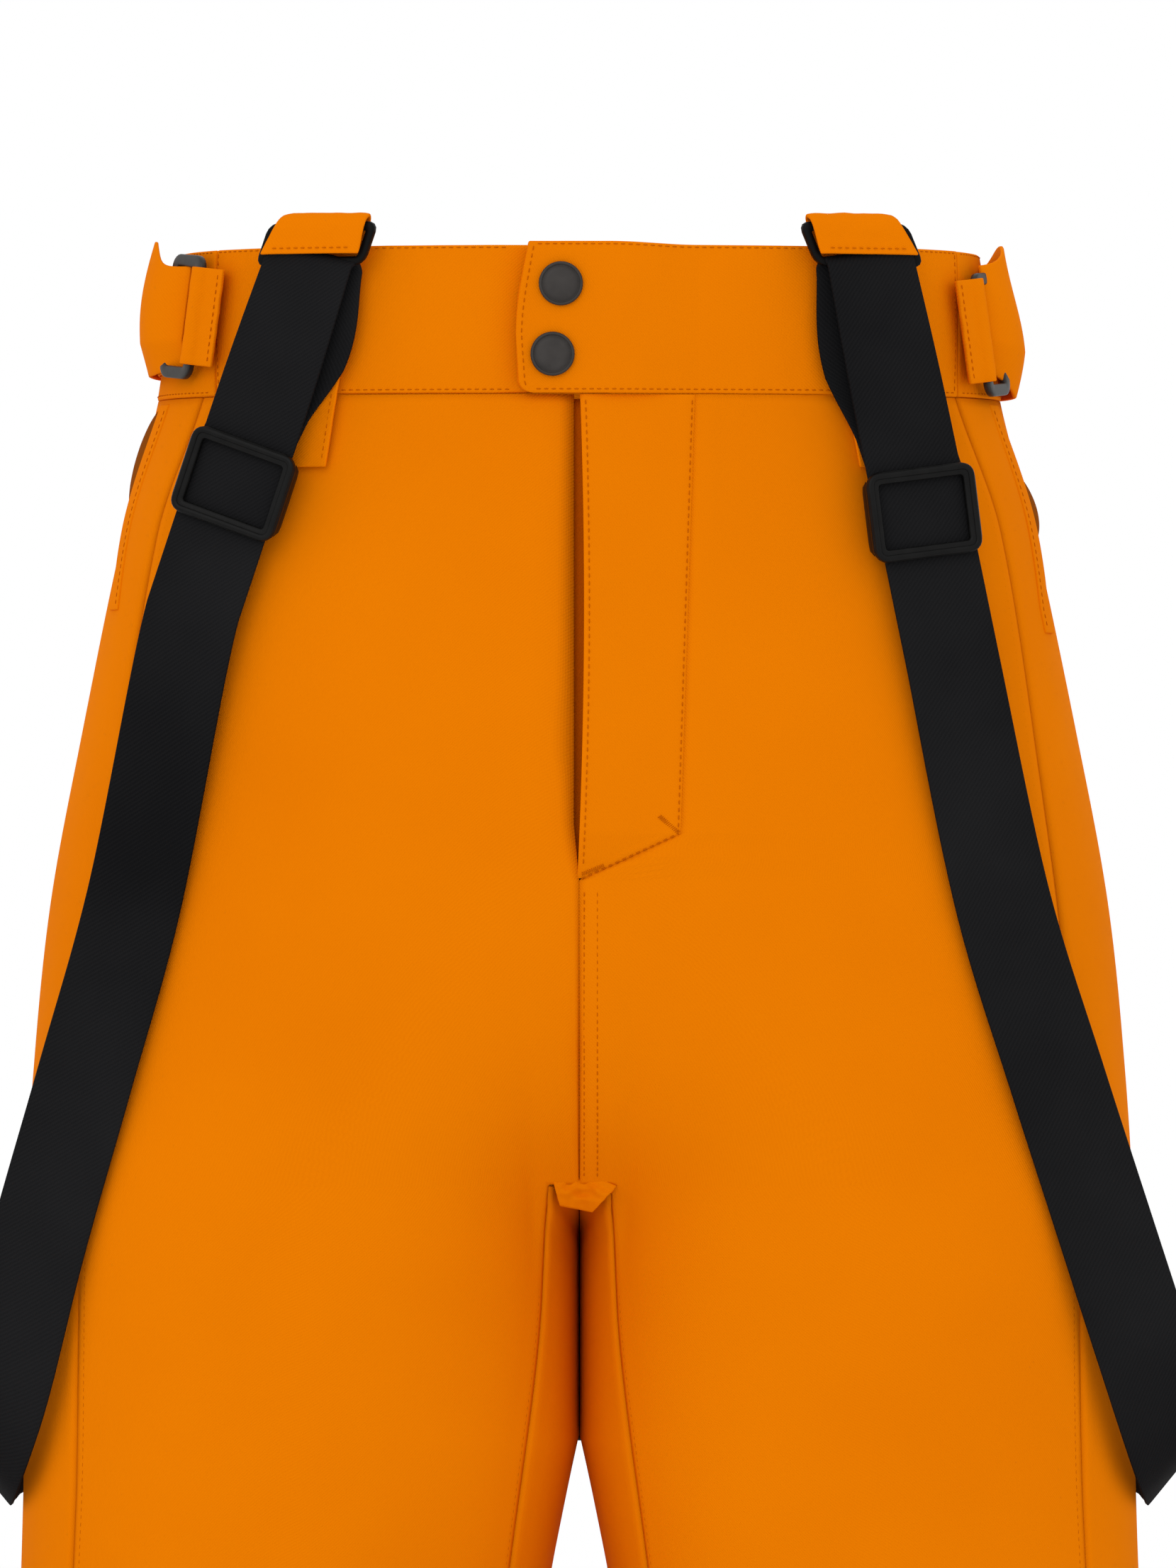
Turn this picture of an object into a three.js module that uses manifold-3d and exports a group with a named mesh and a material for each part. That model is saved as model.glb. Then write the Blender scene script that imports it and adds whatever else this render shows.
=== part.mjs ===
// Over-trousers with clip-on braces, built as separate cloth panels, fastenings and webbing.
// Millimetres, +Z up, the front faces -Y. The origin is the centre of the waist opening,
// on the top edge of the waistband. Left and right are the wearer's: +X is the left side.
import * as THREE from 'three';
import { mergeVertices } from 'three/addons/utils/BufferGeometryUtils.js';
import Module from 'manifold-3d';

const wasm = await Module();
wasm.setup();

// ---- Driving dimensions ----
const SEAM_GAP = 0.3;
const CLOTH = 2.2;
const HEM_HEIGHT = -1080;
const HEM_BAND = 34.7;
const CROTCH_HEIGHT = -363;
const LEGS_PART_HEIGHT = -464;
const BAND_HEIGHT = 58;
const BAND_OUTSET = 1;
const BAND_THICKNESS = 4;
const BAND_SEAM_X = { left: 146, right: 140 };
const SIDE_SEAM_INSET = 17;
const SECTION_POWER = 2.5;
const GUSSET_HALF_ANGLE = 0.64;
const GUSSET_TAPER = [-520, -640];
const FLY_STITCH_X = 46.3;
const FLY_CURVE = [-227, -246];
const FLAP_EDGE_X = -21;
const UNDERLAP_END_X = 12;
const FLAP_PROUD = 5.3;
const SNAPS = { upper: [-7.2, -13.8], lower: [-10.2, -41.2] };
const SNAP_CAP_RADIUS = 8.5;
const WEBBING_WIDTH = 38;
const WEBBING = 1.8;
const TAB_WIDTH = 34;
const RING_BAR_RADIUS = 2;
const RING_DROP = 18.5;
const UPPER_STRAP_LENGTH = 152;
const ADJUSTER_RING_HEIGHT = 47;

// Where each brace hangs: bar centre, turn of its plane about Z and slants in degrees,
// how far the slider sits below the ring, and how far down the sewn tab reaches.
const BRACES = {
  left: { barX: 106, side: 1, turn: 18, slant: 8, bias: 4.3, sliderDrop: 93, tabReach: 94 },
  right: { barX: 97.5, side: -1, turn: 18, slant: 12, bias: 6.8, sliderDrop: 84.5, tabReach: 94 },
};

// Where each waist adjuster ring sits round the waistband: angle from the side, and height.
const ADJUSTERS = {
  left: { side: 1, angle: 0.3, height: -34 },
  right: { side: -1, angle: 0.42, height: -26.5 },
};

const SIDES = [['left', 1], ['right', -1]];
const radians = THREE.MathUtils.degToRad;
const { clamp, lerp } = THREE.MathUtils;

// ---- Materials ----
function material(color, roughness, metalness = 0) {
  return new THREE.MeshStandardMaterial({ color, roughness, metalness });
}

const shellCloth = material('#e87c00', 0.85);
const liningCloth = material('#7a3a10', 0.9);
const webbingCloth = material('#1b1b1d', 0.8);
const blackPlastic = material('#3f3c38', 0.45);
const darkMetal = material('#3f3a37', 0.35, 0.8);
const brassZip = material('#a8803c', 0.4, 0.9);

const trousers = new THREE.Group();

function add(name, geometry, surfaceMaterial, parent = trousers) {
  const mesh = new THREE.Mesh(geometry, surfaceMaterial);
  mesh.name = name;
  parent.add(mesh);
  return mesh;
}

// ---- Solid helpers ----
// A smooth curve through [height, value] stations, held level beyond its two ends.
function profile(stations) {
  const slope = (k) => {
    const before = stations[Math.max(k - 1, 0)];
    const after = stations[Math.min(k + 1, stations.length - 1)];
    return (after[1] - before[1]) / (after[0] - before[0]);
  };
  return (z) => {
    const last = stations.length - 1;
    if (z >= stations[0][0]) return stations[0][1];
    if (z <= stations[last][0]) return stations[last][1];
    let k = 0;
    while (z < stations[k + 1][0]) k += 1;
    const [z0, v0] = stations[k];
    const [z1, v1] = stations[k + 1];
    const span = z1 - z0;
    const s = (z - z0) / span;
    const rise = s * s * (3 - 2 * s);
    const leave = slope(k) * span * s * (1 - s) * (1 - s);
    const arrive = slope(k + 1) * span * s * s * (s - 1);
    return v0 + (v1 - v0) * rise + leave + arrive;
  };
}

function signedVolume(positions, index) {
  const corner = [new THREE.Vector3(), new THREE.Vector3(), new THREE.Vector3()];
  let volume = 0;
  for (let i = 0; i < index.length; i += 3) {
    corner.forEach((point, k) => point.fromArray(positions, index[i + k] * 3));
    volume += corner[0].dot(corner[1].cross(corner[2])) / 6;
  }
  return volume;
}

function solidFromTriangles(positions, index) {
  if (signedVolume(positions, index) < 0) index.reverse();
  const geometry = new THREE.BufferGeometry();
  geometry.setAttribute('position', new THREE.Float32BufferAttribute(positions, 3));
  geometry.setIndex(index);
  return geometry;
}

// A closed slab between two surfaces: surface(u, row, layer) gives a point of layer 0 or 1.
function slab(columns, rows, surface) {
  const stride = columns + 1;
  const layerSize = stride * rows.length;
  const positions = [];
  for (const layer of [0, 1]) {
    for (const row of rows) {
      for (let i = 0; i <= columns; i += 1) {
        positions.push(...surface(i / columns, row, layer));
      }
    }
  }
  const index = [];
  const quad = (a, b, c, d) => index.push(a, b, c, a, c, d);
  const lastRow = rows.length - 1;
  for (let j = 0; j < lastRow; j += 1) {
    for (let i = 0; i < columns; i += 1) {
      const a = j * stride + i;
      quad(a, a + 1, a + stride + 1, a + stride);
      quad(layerSize + a, layerSize + a + stride, layerSize + a + stride + 1, layerSize + a + 1);
    }
    const start = j * stride;
    const end = start + columns;
    quad(start, start + stride, layerSize + start + stride, layerSize + start);
    quad(end, layerSize + end, layerSize + end + stride, end + stride);
  }
  for (let i = 0; i < columns; i += 1) {
    const low = lastRow * stride + i;
    quad(i, layerSize + i, layerSize + i + 1, i + 1);
    quad(low, low + 1, layerSize + low + 1, layerSize + low);
  }
  return solidFromTriangles(positions, index);
}

function toManifold(geometry) {
  const bare = geometry.clone();
  bare.deleteAttribute('normal');
  bare.deleteAttribute('uv');
  const merged = mergeVertices(bare, 1e-4);
  const vertProperties = new Float32Array(merged.attributes.position.array);
  const triVerts = new Uint32Array(merged.index.array);
  return new wasm.Manifold(new wasm.Mesh({ numProp: 3, vertProperties, triVerts }));
}

function fromManifold(solid) {
  const mesh = solid.getMesh();
  const geometry = new THREE.BufferGeometry();
  geometry.setAttribute('position', new THREE.Float32BufferAttribute(mesh.vertProperties, 3));
  geometry.setIndex([...mesh.triVerts]);
  return geometry;
}

function fuse(...geometries) {
  return fromManifold(geometries.map(toManifold).reduce((whole, next) => whole.add(next)));
}

function cut(geometry, ...tools) {
  const whole = toManifold(geometry);
  return fromManifold(tools.map(toManifold).reduce((left, tool) => left.subtract(tool), whole));
}

function box(low, high) {
  const size = high.map((value, axis) => value - low[axis]);
  const centre = high.map((value, axis) => (value + low[axis]) / 2);
  return new THREE.BoxGeometry(...size).translate(...centre);
}

// A flat outline drawn in the YZ plane and drawn out evenly both ways along X.
function extrudeAcross(shape, width, curveSegments = 8) {
  const options = { depth: width, bevelEnabled: false, curveSegments };
  const turned = new THREE.Matrix4().makeBasis(
    new THREE.Vector3(0, 1, 0), new THREE.Vector3(0, 0, 1), new THREE.Vector3(1, 0, 0));
  return new THREE.ExtrudeGeometry(shape, options).translate(0, 0, -width / 2).applyMatrix4(turned);
}

// ---- The body surface ----
// Every horizontal cut is a rounded box-like oval. Above the crotch the two leg ovals merge
// and are trimmed on the centre plane; below it each leg is a whole oval.
const outerHalfWidth = profile([
  [0, 156], [-58, 165], [-110, 179], [-190, 194.5], [-256, 206],
  [-322, 214.5], [-380, 217.5], [-487, 218.5], [-700, 226], [HEM_HEIGHT, 238],
]);
const halfDepth = profile([
  [0, 105], [-58, 106], [-200, 115], [-300, 112], [-363, 104], [-500, 94], [-650, 86], [HEM_HEIGHT, 78],
]);
const centreDepth = profile([
  [0, 0], [-58, 1.5], [-200, 9], [-300, 9], [-363, 7], [-500, 4], [HEM_HEIGHT, 6],
]);

function sectionAt(z) {
  const outer = outerHalfWidth(z);
  const forkStart = -150;
  const fork = clamp((forkStart - z) / (forkStart - CROTCH_HEIGHT), 0, 1) ** 1.6;
  const spread = Math.max(0, LEGS_PART_HEIGHT - z);
  const inner = SEAM_GAP / 2 + 55 * (1 - Math.exp(-spread / 240));
  const centreX = fork * (outer + inner) / 2;
  const halfWidth = outer - centreX;
  return { outer, centreX, halfWidth, halfDepth: halfDepth(z), centreY: centreDepth(z) };
}

const power = (value, exponent) => Math.sign(value) * Math.abs(value) ** exponent;

// angle 0 is the outer side, +90 degrees the front, 180 the inside leg, -90 the back.
function bodyPoint(side, angle, z, outset = 0) {
  const section = sectionAt(z);
  const exponent = 2 / SECTION_POWER;
  const x = section.centreX + (section.halfWidth + outset) * power(Math.cos(angle), exponent);
  const y = section.centreY - (section.halfDepth + outset) * power(Math.sin(angle), exponent);
  return [side * x, y, z];
}

function angleAtX(x, z, outset = 0) {
  const section = sectionAt(z);
  const share = clamp((x - section.centreX) / (section.halfWidth + outset), -1, 1);
  return Math.acos(power(share, SECTION_POWER / 2));
}

function frontY(x, z, outset) {
  return bodyPoint(1, angleAtX(Math.abs(x), z, outset), z, outset)[1];
}

// ---- Trouser panels ----
// Each front and back is drawn in two lengths that meet at mid-thigh.
const MID_THIGH = -500;
const upperRows = [
  -58.3, -90, -120, -150, -180, -205, ...FLY_CURVE, -270, -295, -318, -336, -348, -357, -363, -366.5,
  -400, -440, -480, MID_THIGH,
];
const lowerRows = [
  MID_THIGH - SEAM_GAP, -520, -560, -600, -640, -720, -820, -930, HEM_HEIGHT + HEM_BAND + SEAM_GAP,
];
const lengths = [['panel', upperRows], ['leg', lowerRows]];

// Where the inside-leg seams run: on the centre plane above the crotch, beside the gusset below it.
function insideSeamAngle(z, outset) {
  if (z >= CROTCH_HEIGHT) return angleAtX(SEAM_GAP / 2, z, outset);
  const [taperTop, taperEnd] = GUSSET_TAPER;
  const taper = clamp((z - taperEnd) / (taperTop - taperEnd), 0, 1);
  return Math.PI - Math.max(0.001, GUSSET_HALF_ANGLE * taper);
}

// The left front stops at the J-shaped fly stitching, because the fly flap carries on from there.
function flyStitchX(z) {
  const [straightEnd, curveEnd] = FLY_CURVE;
  return lerp(SEAM_GAP / 2, FLY_STITCH_X, clamp((z - curveEnd) / (straightEnd - curveEnd), 0, 1));
}

function sideSeamAngle(z, outset) {
  return angleAtX(sectionAt(z).outer - SIDE_SEAM_INSET, z, outset);
}

for (const [name, side] of SIDES) {
  const frontEnd = (z, outset) => {
    if (side > 0 && z >= FLY_CURVE[1]) return angleAtX(flyStitchX(z), z, outset);
    return insideSeamAngle(z, outset);
  };
  const seamGapAngle = 0.006;
  for (const [length, rows] of lengths) {
    const front = slab(9, rows, (u, z, layer) => {
      const outset = -CLOTH * layer;
      return bodyPoint(side, lerp(sideSeamAngle(z, outset), frontEnd(z, outset), u), z, outset);
    });
    add(`front_${length}_${name}`, front, shellCloth);

    const back = slab(11, rows, (u, z, layer) => {
      const outset = -CLOTH * layer;
      const start = sideSeamAngle(z, outset) - seamGapAngle;
      return bodyPoint(side, lerp(start, -insideSeamAngle(z, outset), u), z, outset);
    });
    add(`back_${length}_${name}`, back, shellCloth);
  }

  const belowCrotch = (z) => z <= CROTCH_HEIGHT && z > GUSSET_TAPER[1];
  const gussetRows = [...upperRows, ...lowerRows.slice(1)].filter(belowCrotch);
  const gusset = slab(6, gussetRows, (u, z, layer) => {
    const half = Math.max(0.02, Math.PI - insideSeamAngle(z, 0) - seamGapAngle);
    return bodyPoint(side, Math.PI + lerp(-half, half, u), z - 0.5, -CLOTH * layer);
  });
  add(`inner_leg_gusset_${name}`, gusset, shellCloth);
}

// ---- Hem bands: a folded band round each leg, meeting itself at the inside-leg seam ----
for (const [name, side] of SIDES) {
  const band = slab(36, [HEM_HEIGHT + HEM_BAND, HEM_HEIGHT], (u, z, layer) => {
    const end = Math.PI - 0.002;
    return bodyPoint(side, lerp(-end, end, u), z, 0.4 - 3.2 * layer);
  });
  add(`hem_band_${name}`, band, shellCloth);
}

// ---- Hand pocket bags, hanging inside the fronts behind the slanted side mouths ----
const pocketRows = [-66, -90, -120, -150, -180, -210, -240];
for (const [name, side] of SIDES) {
  const bag = slab(6, pocketRows, (u, z, layer) => {
    const outset = -6 - 2.5 * layer;
    const sideAngle = sideSeamAngle(z, outset) - 0.1;
    return bodyPoint(side, lerp(sideAngle, angleAtX(92, z, outset), u), z, outset);
  });
  add(`pocket_bag_${name}`, bag, liningCloth);
}

// ---- Waistband ----
const bandRows = [0, -20, -40, -BAND_HEIGHT];
const bandOutset = (layer) => BAND_OUTSET - BAND_THICKNESS * layer;
const bandSeamAngle = (name, z, outset) => angleAtX(BAND_SEAM_X[name], z, outset);
const bandGapAngle = 0.004;

add('waistband_front_left', slab(10, bandRows, (u, z, layer) => {
  const outset = bandOutset(layer);
  const start = bandSeamAngle('left', z, outset);
  return bodyPoint(1, lerp(start, angleAtX(FLY_STITCH_X, z, outset), u), z, outset);
}), shellCloth);

add('waistband_front_right', slab(14, bandRows, (u, z, layer) => {
  const outset = bandOutset(layer);
  const start = bandSeamAngle('right', z, outset);
  return bodyPoint(-1, lerp(start, angleAtX(-UNDERLAP_END_X, z, outset), u), z, outset);
}), shellCloth);

add('waistband_back', slab(24, bandRows, (u, z, layer) => {
  const outset = bandOutset(layer);
  const start = bandSeamAngle('left', z, outset) - bandGapAngle;
  const end = -Math.PI - bandSeamAngle('right', z, outset) + bandGapAngle;
  return bodyPoint(1, lerp(start, end, u), z, outset);
}), shellCloth);

// ---- Fly flap: the waistband's overlap and the placket under it, with two snaps ----
function snapCylinder(snap, radius, nearY, farY, segments = 16) {
  const depth = nearY - farY;
  const disc = new THREE.CylinderGeometry(radius, radius, depth, segments);
  return disc.translate(snap[0], (nearY + farY) / 2, snap[1]);
}

// How far the flap stands proud: over the underlap it is lifted, at its hinge it is level.
function flapOutset(x, lifted, level) {
  return lerp(lifted, level, clamp((x - UNDERLAP_END_X) / (FLY_STITCH_X - UNDERLAP_END_X), 0, 1));
}

const flapEnd = FLY_STITCH_X - 0.5;
const flapBlank = slab(10, bandRows, (u, z, layer) => {
  const x = lerp(flapEnd, FLAP_EDGE_X, u);
  const outset = flapOutset(x, FLAP_PROUD, BAND_OUTSET) - BAND_THICKNESS * layer;
  return [x, frontY(x, z, outset), z];
});
const snapHoleRadius = 6.5;
const snapHoles = Object.values(SNAPS).map(([x, z]) => {
  const through = new THREE.CylinderGeometry(snapHoleRadius, snapHoleRadius, 20, 16);
  return through.translate(x, frontY(x, z, 3), z);
});
add('waistband_overlap', cut(flapBlank, ...snapHoles), shellCloth);

const placketRows = [-58.6, -90, -120, -150, -180, -205, FLY_CURVE[0] + 0.7, FLY_CURVE[1] + 2.6];
const placketProud = 2.7;
const placketEdgeX = -2.5;
add('fly_placket', slab(7, placketRows, (u, z, layer) => {
  const outerX = Math.max(flyStitchX(z - 0.9) - 0.6, placketEdgeX + 3);
  const x = lerp(outerX, placketEdgeX, u);
  const lift = lerp(placketProud, 0, clamp((x - 2) / (FLY_STITCH_X - 2), 0, 1));
  const outset = lift - 2 * layer;
  return [x, frontY(x, z, outset), z];
}), shellCloth);

// A lathe's seam and poles repeat corners: weld them, drop the empty triangles, face outwards.
function closeLathe(lathe) {
  const bare = new THREE.BufferGeometry();
  bare.setAttribute('position', lathe.attributes.position);
  bare.setIndex(lathe.index);
  const welded = mergeVertices(bare, 1e-3);
  const source = welded.index.array;
  const index = [];
  for (let i = 0; i < source.length; i += 3) {
    const [a, b, c] = [source[i], source[i + 1], source[i + 2]];
    if (a !== b && b !== c && a !== c) index.push(a, b, c);
  }
  return solidFromTriangles([...welded.attributes.position.array], index);
}

const capOutline = [
  [0, 0], [SNAP_CAP_RADIUS, 0], [SNAP_CAP_RADIUS, 1.2],
  [SNAP_CAP_RADIUS - 1, 2], [SNAP_CAP_RADIUS - 2, 1.6], [0, 2.3],
].map(([radius, height]) => new THREE.Vector2(radius, height));

for (const [place, [x, z]] of Object.entries(SNAPS)) {
  const flapFace = frontY(x, z, FLAP_PROUD);
  const bandFace = frontY(x, z, BAND_OUTSET);
  const cap = closeLathe(new THREE.LatheGeometry(capOutline, 20).rotateX(Math.PI));
  add(`snap_cap_${place}`, fuse(cap.translate(x, flapFace - 0.5, z)), darkMetal);

  const socketOuter = snapCylinder([x, z], 6.1, bandFace - 0.6, flapFace + 0.3);
  const socketBore = snapCylinder([x, z], 3.3, bandFace + 5, flapFace - 5);
  add(`snap_socket_${place}`, cut(socketOuter, socketBore), darkMetal);
  add(`snap_stud_${place}`, snapCylinder([x, z], 2.8, bandFace - 0.4, bandFace - 3.2), darkMetal);
}

// ---- Zip behind the placket, both tapes sewn to the fronts behind the flap ----
const zipTop = -62;
const zipBottom = -238;
const zipY = -99.7;
const zipX = 14.3;
add('zip_tape_right', box([-12, zipY - 0.4, zipBottom], [zipX - 2, zipY + 0.4, zipTop]), liningCloth);
add('zip_tape_left', box([zipX + 2.1, zipY - 0.4, zipBottom], [38, zipY + 0.4, zipTop]), liningCloth);

// A toothed strip: a thin spine with a block for every tooth.
function toothedStrip(direction) {
  const pitch = 5.5;
  const outline = new THREE.Shape();
  outline.moveTo(1.6 * direction, zipTop);
  outline.lineTo(1.6 * direction, zipBottom);
  for (let z = zipBottom; z + pitch <= zipTop; z += pitch) {
    outline.lineTo(0.2 * direction, z);
    outline.lineTo(0.2 * direction, z + pitch / 2);
    outline.lineTo(0.8 * direction, z + pitch / 2);
    outline.lineTo(0.8 * direction, z + pitch);
  }
  const strip = new THREE.ExtrudeGeometry(outline, { depth: 2.4, bevelEnabled: false });
  return strip.rotateX(Math.PI / 2).translate(zipX, zipY + 1.2, 0);
}

add('zip_teeth_right', toothedStrip(-1), brassZip);
add('zip_teeth_left', toothedStrip(1), brassZip);

// The slider wraps the teeth from behind: a plate with two side rails.
const sliderTop = -66;
const sliderPlate = box([zipX - 5.5, zipY - 2.6, sliderTop - 9], [zipX + 5.5, zipY - 1.5, sliderTop]);
add('zip_slider', sliderPlate, brassZip);
const pullTop = sliderTop - 2;
const pullPlate = box([zipX - 3, zipY - 4, pullTop - 24], [zipX + 3, zipY - 2.9, pullTop]);
add('zip_pull', pullPlate, brassZip);

const guardFront = -96.4;
const guardBack = guardFront + 1.8;
add('fly_guard', box([-14, guardFront, -240], [42, guardBack, -60]), liningCloth);

// ---- Braces: tab, ring, webbing loop and slider, each side and at the back ----
// A tab's outline from the side: a flat strip with an eye at its top that holds the ring's bar.
function tabOutline(reach) {
  const eyeRadius = 4.6;
  const back = 6.6;
  const outline = new THREE.Shape();
  outline.moveTo(back, -reach);
  outline.lineTo(back, 1);
  outline.quadraticCurveTo(back - 1, eyeRadius, 0, eyeRadius);
  outline.absarc(0, 0, eyeRadius, Math.PI / 2, Math.PI * 1.25, false);
  outline.lineTo(back - 2, -9.5);
  outline.lineTo(back - 2, -reach);
  const eye = new THREE.Path();
  eye.absarc(0, 0, RING_BAR_RADIUS + 0.6, 0, Math.PI * 2, true);
  outline.holes.push(eye);
  return outline;
}

function ringGeometry() {
  const innerHalf = 20;
  const outerHalf = 24.5;
  const radius = RING_BAR_RADIUS;
  const bar = (z) => {
    const rod = new THREE.CylinderGeometry(radius, radius, 2 * innerHalf + 2, 12);
    return rod.rotateZ(Math.PI / 2).translate(0, 0, z);
  };
  const arm = (direction) => box(
    [Math.min(direction * innerHalf, direction * outerHalf), -radius, -RING_DROP - radius],
    [Math.max(direction * innerHalf, direction * outerHalf), radius, radius]);
  return fuse(bar(0), bar(-RING_DROP), arm(1), arm(-1));
}

// The webbing seen from its edge: round the ring's lower bar, a long front run, a short back run.
function strapOutline(backLength) {
  const inner = RING_BAR_RADIUS + 0.4;
  const outer = inner + WEBBING;
  const outline = new THREE.Shape();
  outline.moveTo(-outer, -UPPER_STRAP_LENGTH);
  outline.lineTo(-outer, 0);
  outline.absarc(0, 0, outer, Math.PI, 0, true);
  outline.lineTo(outer, -backLength);
  outline.lineTo(inner, -backLength);
  outline.lineTo(inner, 0);
  outline.absarc(0, 0, inner, 0, Math.PI, false);
  outline.lineTo(-inner, -UPPER_STRAP_LENGTH);
  return outline;
}

// A three-bar slider: two rails, top and bottom bars in front of the strap, one bar behind it.
function sliderGeometry() {
  const halfHeight = 16.5;
  const railInner = WEBBING_WIDTH / 2 + 0.4;
  const railOuter = railInner + 2.2;
  const rail = (direction) => box(
    [Math.min(direction * railInner, direction * railOuter), -7, -halfHeight],
    [Math.max(direction * railInner, direction * railOuter), 0.8, halfHeight]);
  const frontBar = (low) => box([-railInner - 0.5, -7, low], [railInner + 0.5, -4.6, low + 6]);
  const middleBar = box([-railInner - 0.5, -2, -3], [railInner + 0.5, 0.8, 3]);
  return fuse(rail(1), rail(-1), frontBar(-halfHeight), frontBar(halfHeight - 6), middleBar);
}

function leanSideways(geometry, bias) {
  const slope = -Math.tan(radians(bias));
  const lean = new THREE.Matrix4().makeShear(0, 0, 0, 0, slope, 0);
  return geometry.applyMatrix4(lean);
}

// Builds one hanging brace end and returns the middle and the width direction of its strap's end.
function braceEnd(name, place, { side, turn, slant, bias, pitch = 0, sliderDrop, tabReach }) {
  const hanger = new THREE.Group();
  hanger.position.set(...place);
  hanger.rotation.set(0, radians(-slant * side), radians(turn), 'ZYX');
  trousers.add(hanger);
  add(`suspender_tab_${name}`, extrudeAcross(tabOutline(tabReach), TAB_WIDTH), shellCloth, hanger);
  add(`suspender_ring_${name}`, ringGeometry(), blackPlastic, hanger);

  const webbing = new THREE.Group();
  webbing.position.z = -RING_DROP;
  webbing.rotation.x = radians(pitch);
  hanger.add(webbing);
  const backLength = sliderDrop ? 65 : 40;
  const strap = leanSideways(extrudeAcross(strapOutline(backLength), WEBBING_WIDTH), bias * side);
  add(`strap_upper_${name}`, strap, webbingCloth, webbing);
  if (sliderDrop) {
    const seat = new THREE.Group();
    seat.position.set(Math.tan(radians(bias * side)) * sliderDrop, 0, -sliderDrop);
    seat.rotation.y = radians(-bias * side);
    webbing.add(seat);
    add(`strap_slider_${name}`, sliderGeometry(), blackPlastic, seat);
    const half = WEBBING_WIDTH / 2;
    add(`strap_tail_${name}`, box([-half, -0.9, 3.4], [half, 0.9, 36]), webbingCloth, seat);
  }
  webbing.updateWorldMatrix(true, false);
  const endX = Math.tan(radians(bias * side)) * UPPER_STRAP_LENGTH;
  const middle = -RING_BAR_RADIUS - 0.4 - WEBBING / 2;
  const end = webbing.localToWorld(new THREE.Vector3(endX, middle, -UPPER_STRAP_LENGTH - 0.5));
  const across = new THREE.Vector3(1, 0, 0).transformDirection(webbing.matrixWorld);
  return { end, across };
}

// A flat strap along a smooth curve; each station is [x, y, z, width direction x, y, z].
function ribbon(stations, steps) {
  const middles = stations.map((station) => new THREE.Vector3(...station.slice(0, 3)));
  const crossings = stations.map((station) => new THREE.Vector3(...station.slice(3)));
  const centres = new THREE.CatmullRomCurve3(middles, false, 'centripetal');
  const widths = new THREE.CatmullRomCurve3(crossings);
  const rows = Array.from({ length: steps + 1 }, (_, k) => k / steps);
  return slab(1, rows, (u, t, layer) => {
    const centre = centres.getPoint(t);
    const along = centres.getTangent(t);
    const across = widths.getPoint(t).normalize();
    const through = new THREE.Vector3().crossVectors(along, across).normalize();
    centre.addScaledVector(across, (u - 0.5) * WEBBING_WIDTH);
    centre.addScaledVector(through, (layer - 0.5) * WEBBING);
    return centre.toArray();
  });
}

// The lower strap runs down the front of the thigh, turns round its outer side and crosses behind.
const thighRun = [[169, -256, 0.22], [188, -322, 0.2], [207, -388, 0.17]].map(([x, z, wy]) => {
  const reach = [-1, -0.5, 0, 0.5].map((share) => share * WEBBING_WIDTH / 2);
  const hover = reach.map((u) => frontY(Math.min(x + u, sectionAt(z).outer - 2), z, 3.5) - u * wy);
  return [x, Math.min(...hover), z, 0.93, wy, 0.3];
});
const lowerRun = [
  ...thighRun,
  [223, -64, -440, 0.88, 0.1, 0.47], [231, -48, -466, 0.75, 0.02, 0.66],
  [234, -15, -475, 0.64, 0, 0.77], [235, 25, -476, 0.64, 0, 0.77],
  [231, 62, -474, 0.6, -0.05, 0.8], [213, 88, -471, 0.4, -0.12, 0.9],
  [178, 103, -466, 0.2, -0.03, 0.98], [120, 109, -459, 0.14, 0, 0.99],
  [75, 108, -453, 0.12, 0, 0.99], [39.5, 106, -448, 0.12, 0, 0.99],
];

const barHeight = 8.9;
const frontBarProud = 10.2;
for (const [name, side] of SIDES) {
  const brace = BRACES[name];
  const bandY = frontY(brace.barX, 0, BAND_OUTSET);
  const place = [side * brace.barX, bandY - frontBarProud, barHeight];
  const { end, across } = braceEnd(name, place, { ...brace, turn: brace.turn * side });
  const first = [...end.toArray(), ...across.toArray()];
  const run = lowerRun.map(([x, y, z, wx, wy, wz]) => [side * x, y, z, wx, side * wy, side * wz]);
  add(`strap_lower_${name}`, ribbon([first, ...run], 44), webbingCloth);
}

const rearBar = [0, 115.5, 3.9];
const rearSet = { side: 1, turn: 180, slant: 0, bias: 0, pitch: -5.5, sliderDrop: 0, tabReach: 62 };
const rear = braceEnd('rear', rearBar, rearSet);
const rearRun = [
  [0, 132, -200], [0, 131, -250], [0, 127, -300], [0, 119, -350], [0, 110, -395], [0, 106, -411],
].map(([x, y, z]) => [x, y, z, -1, 0, 0]);
add('strap_lower_rear', ribbon([[...rear.end.toArray(), -1, 0, 0], ...rearRun], 16), webbingCloth);

// The patch where the two side straps and the rear strap are sewn together.
const patchShape = new THREE.Shape();
const patchOutline = [
  [-21, -411.6], [21, -411.6], [36.4, -428], [36.4, -470], [-36.4, -470], [-36.4, -428],
];
patchShape.setFromPoints(patchOutline.map(([x, z]) => new THREE.Vector2(x, z)));
const patch = new THREE.ExtrudeGeometry(patchShape, { depth: 4, bevelEnabled: false });
add('strap_junction', patch.rotateX(Math.PI / 2).translate(0, 108, 0), webbingCloth);

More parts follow.
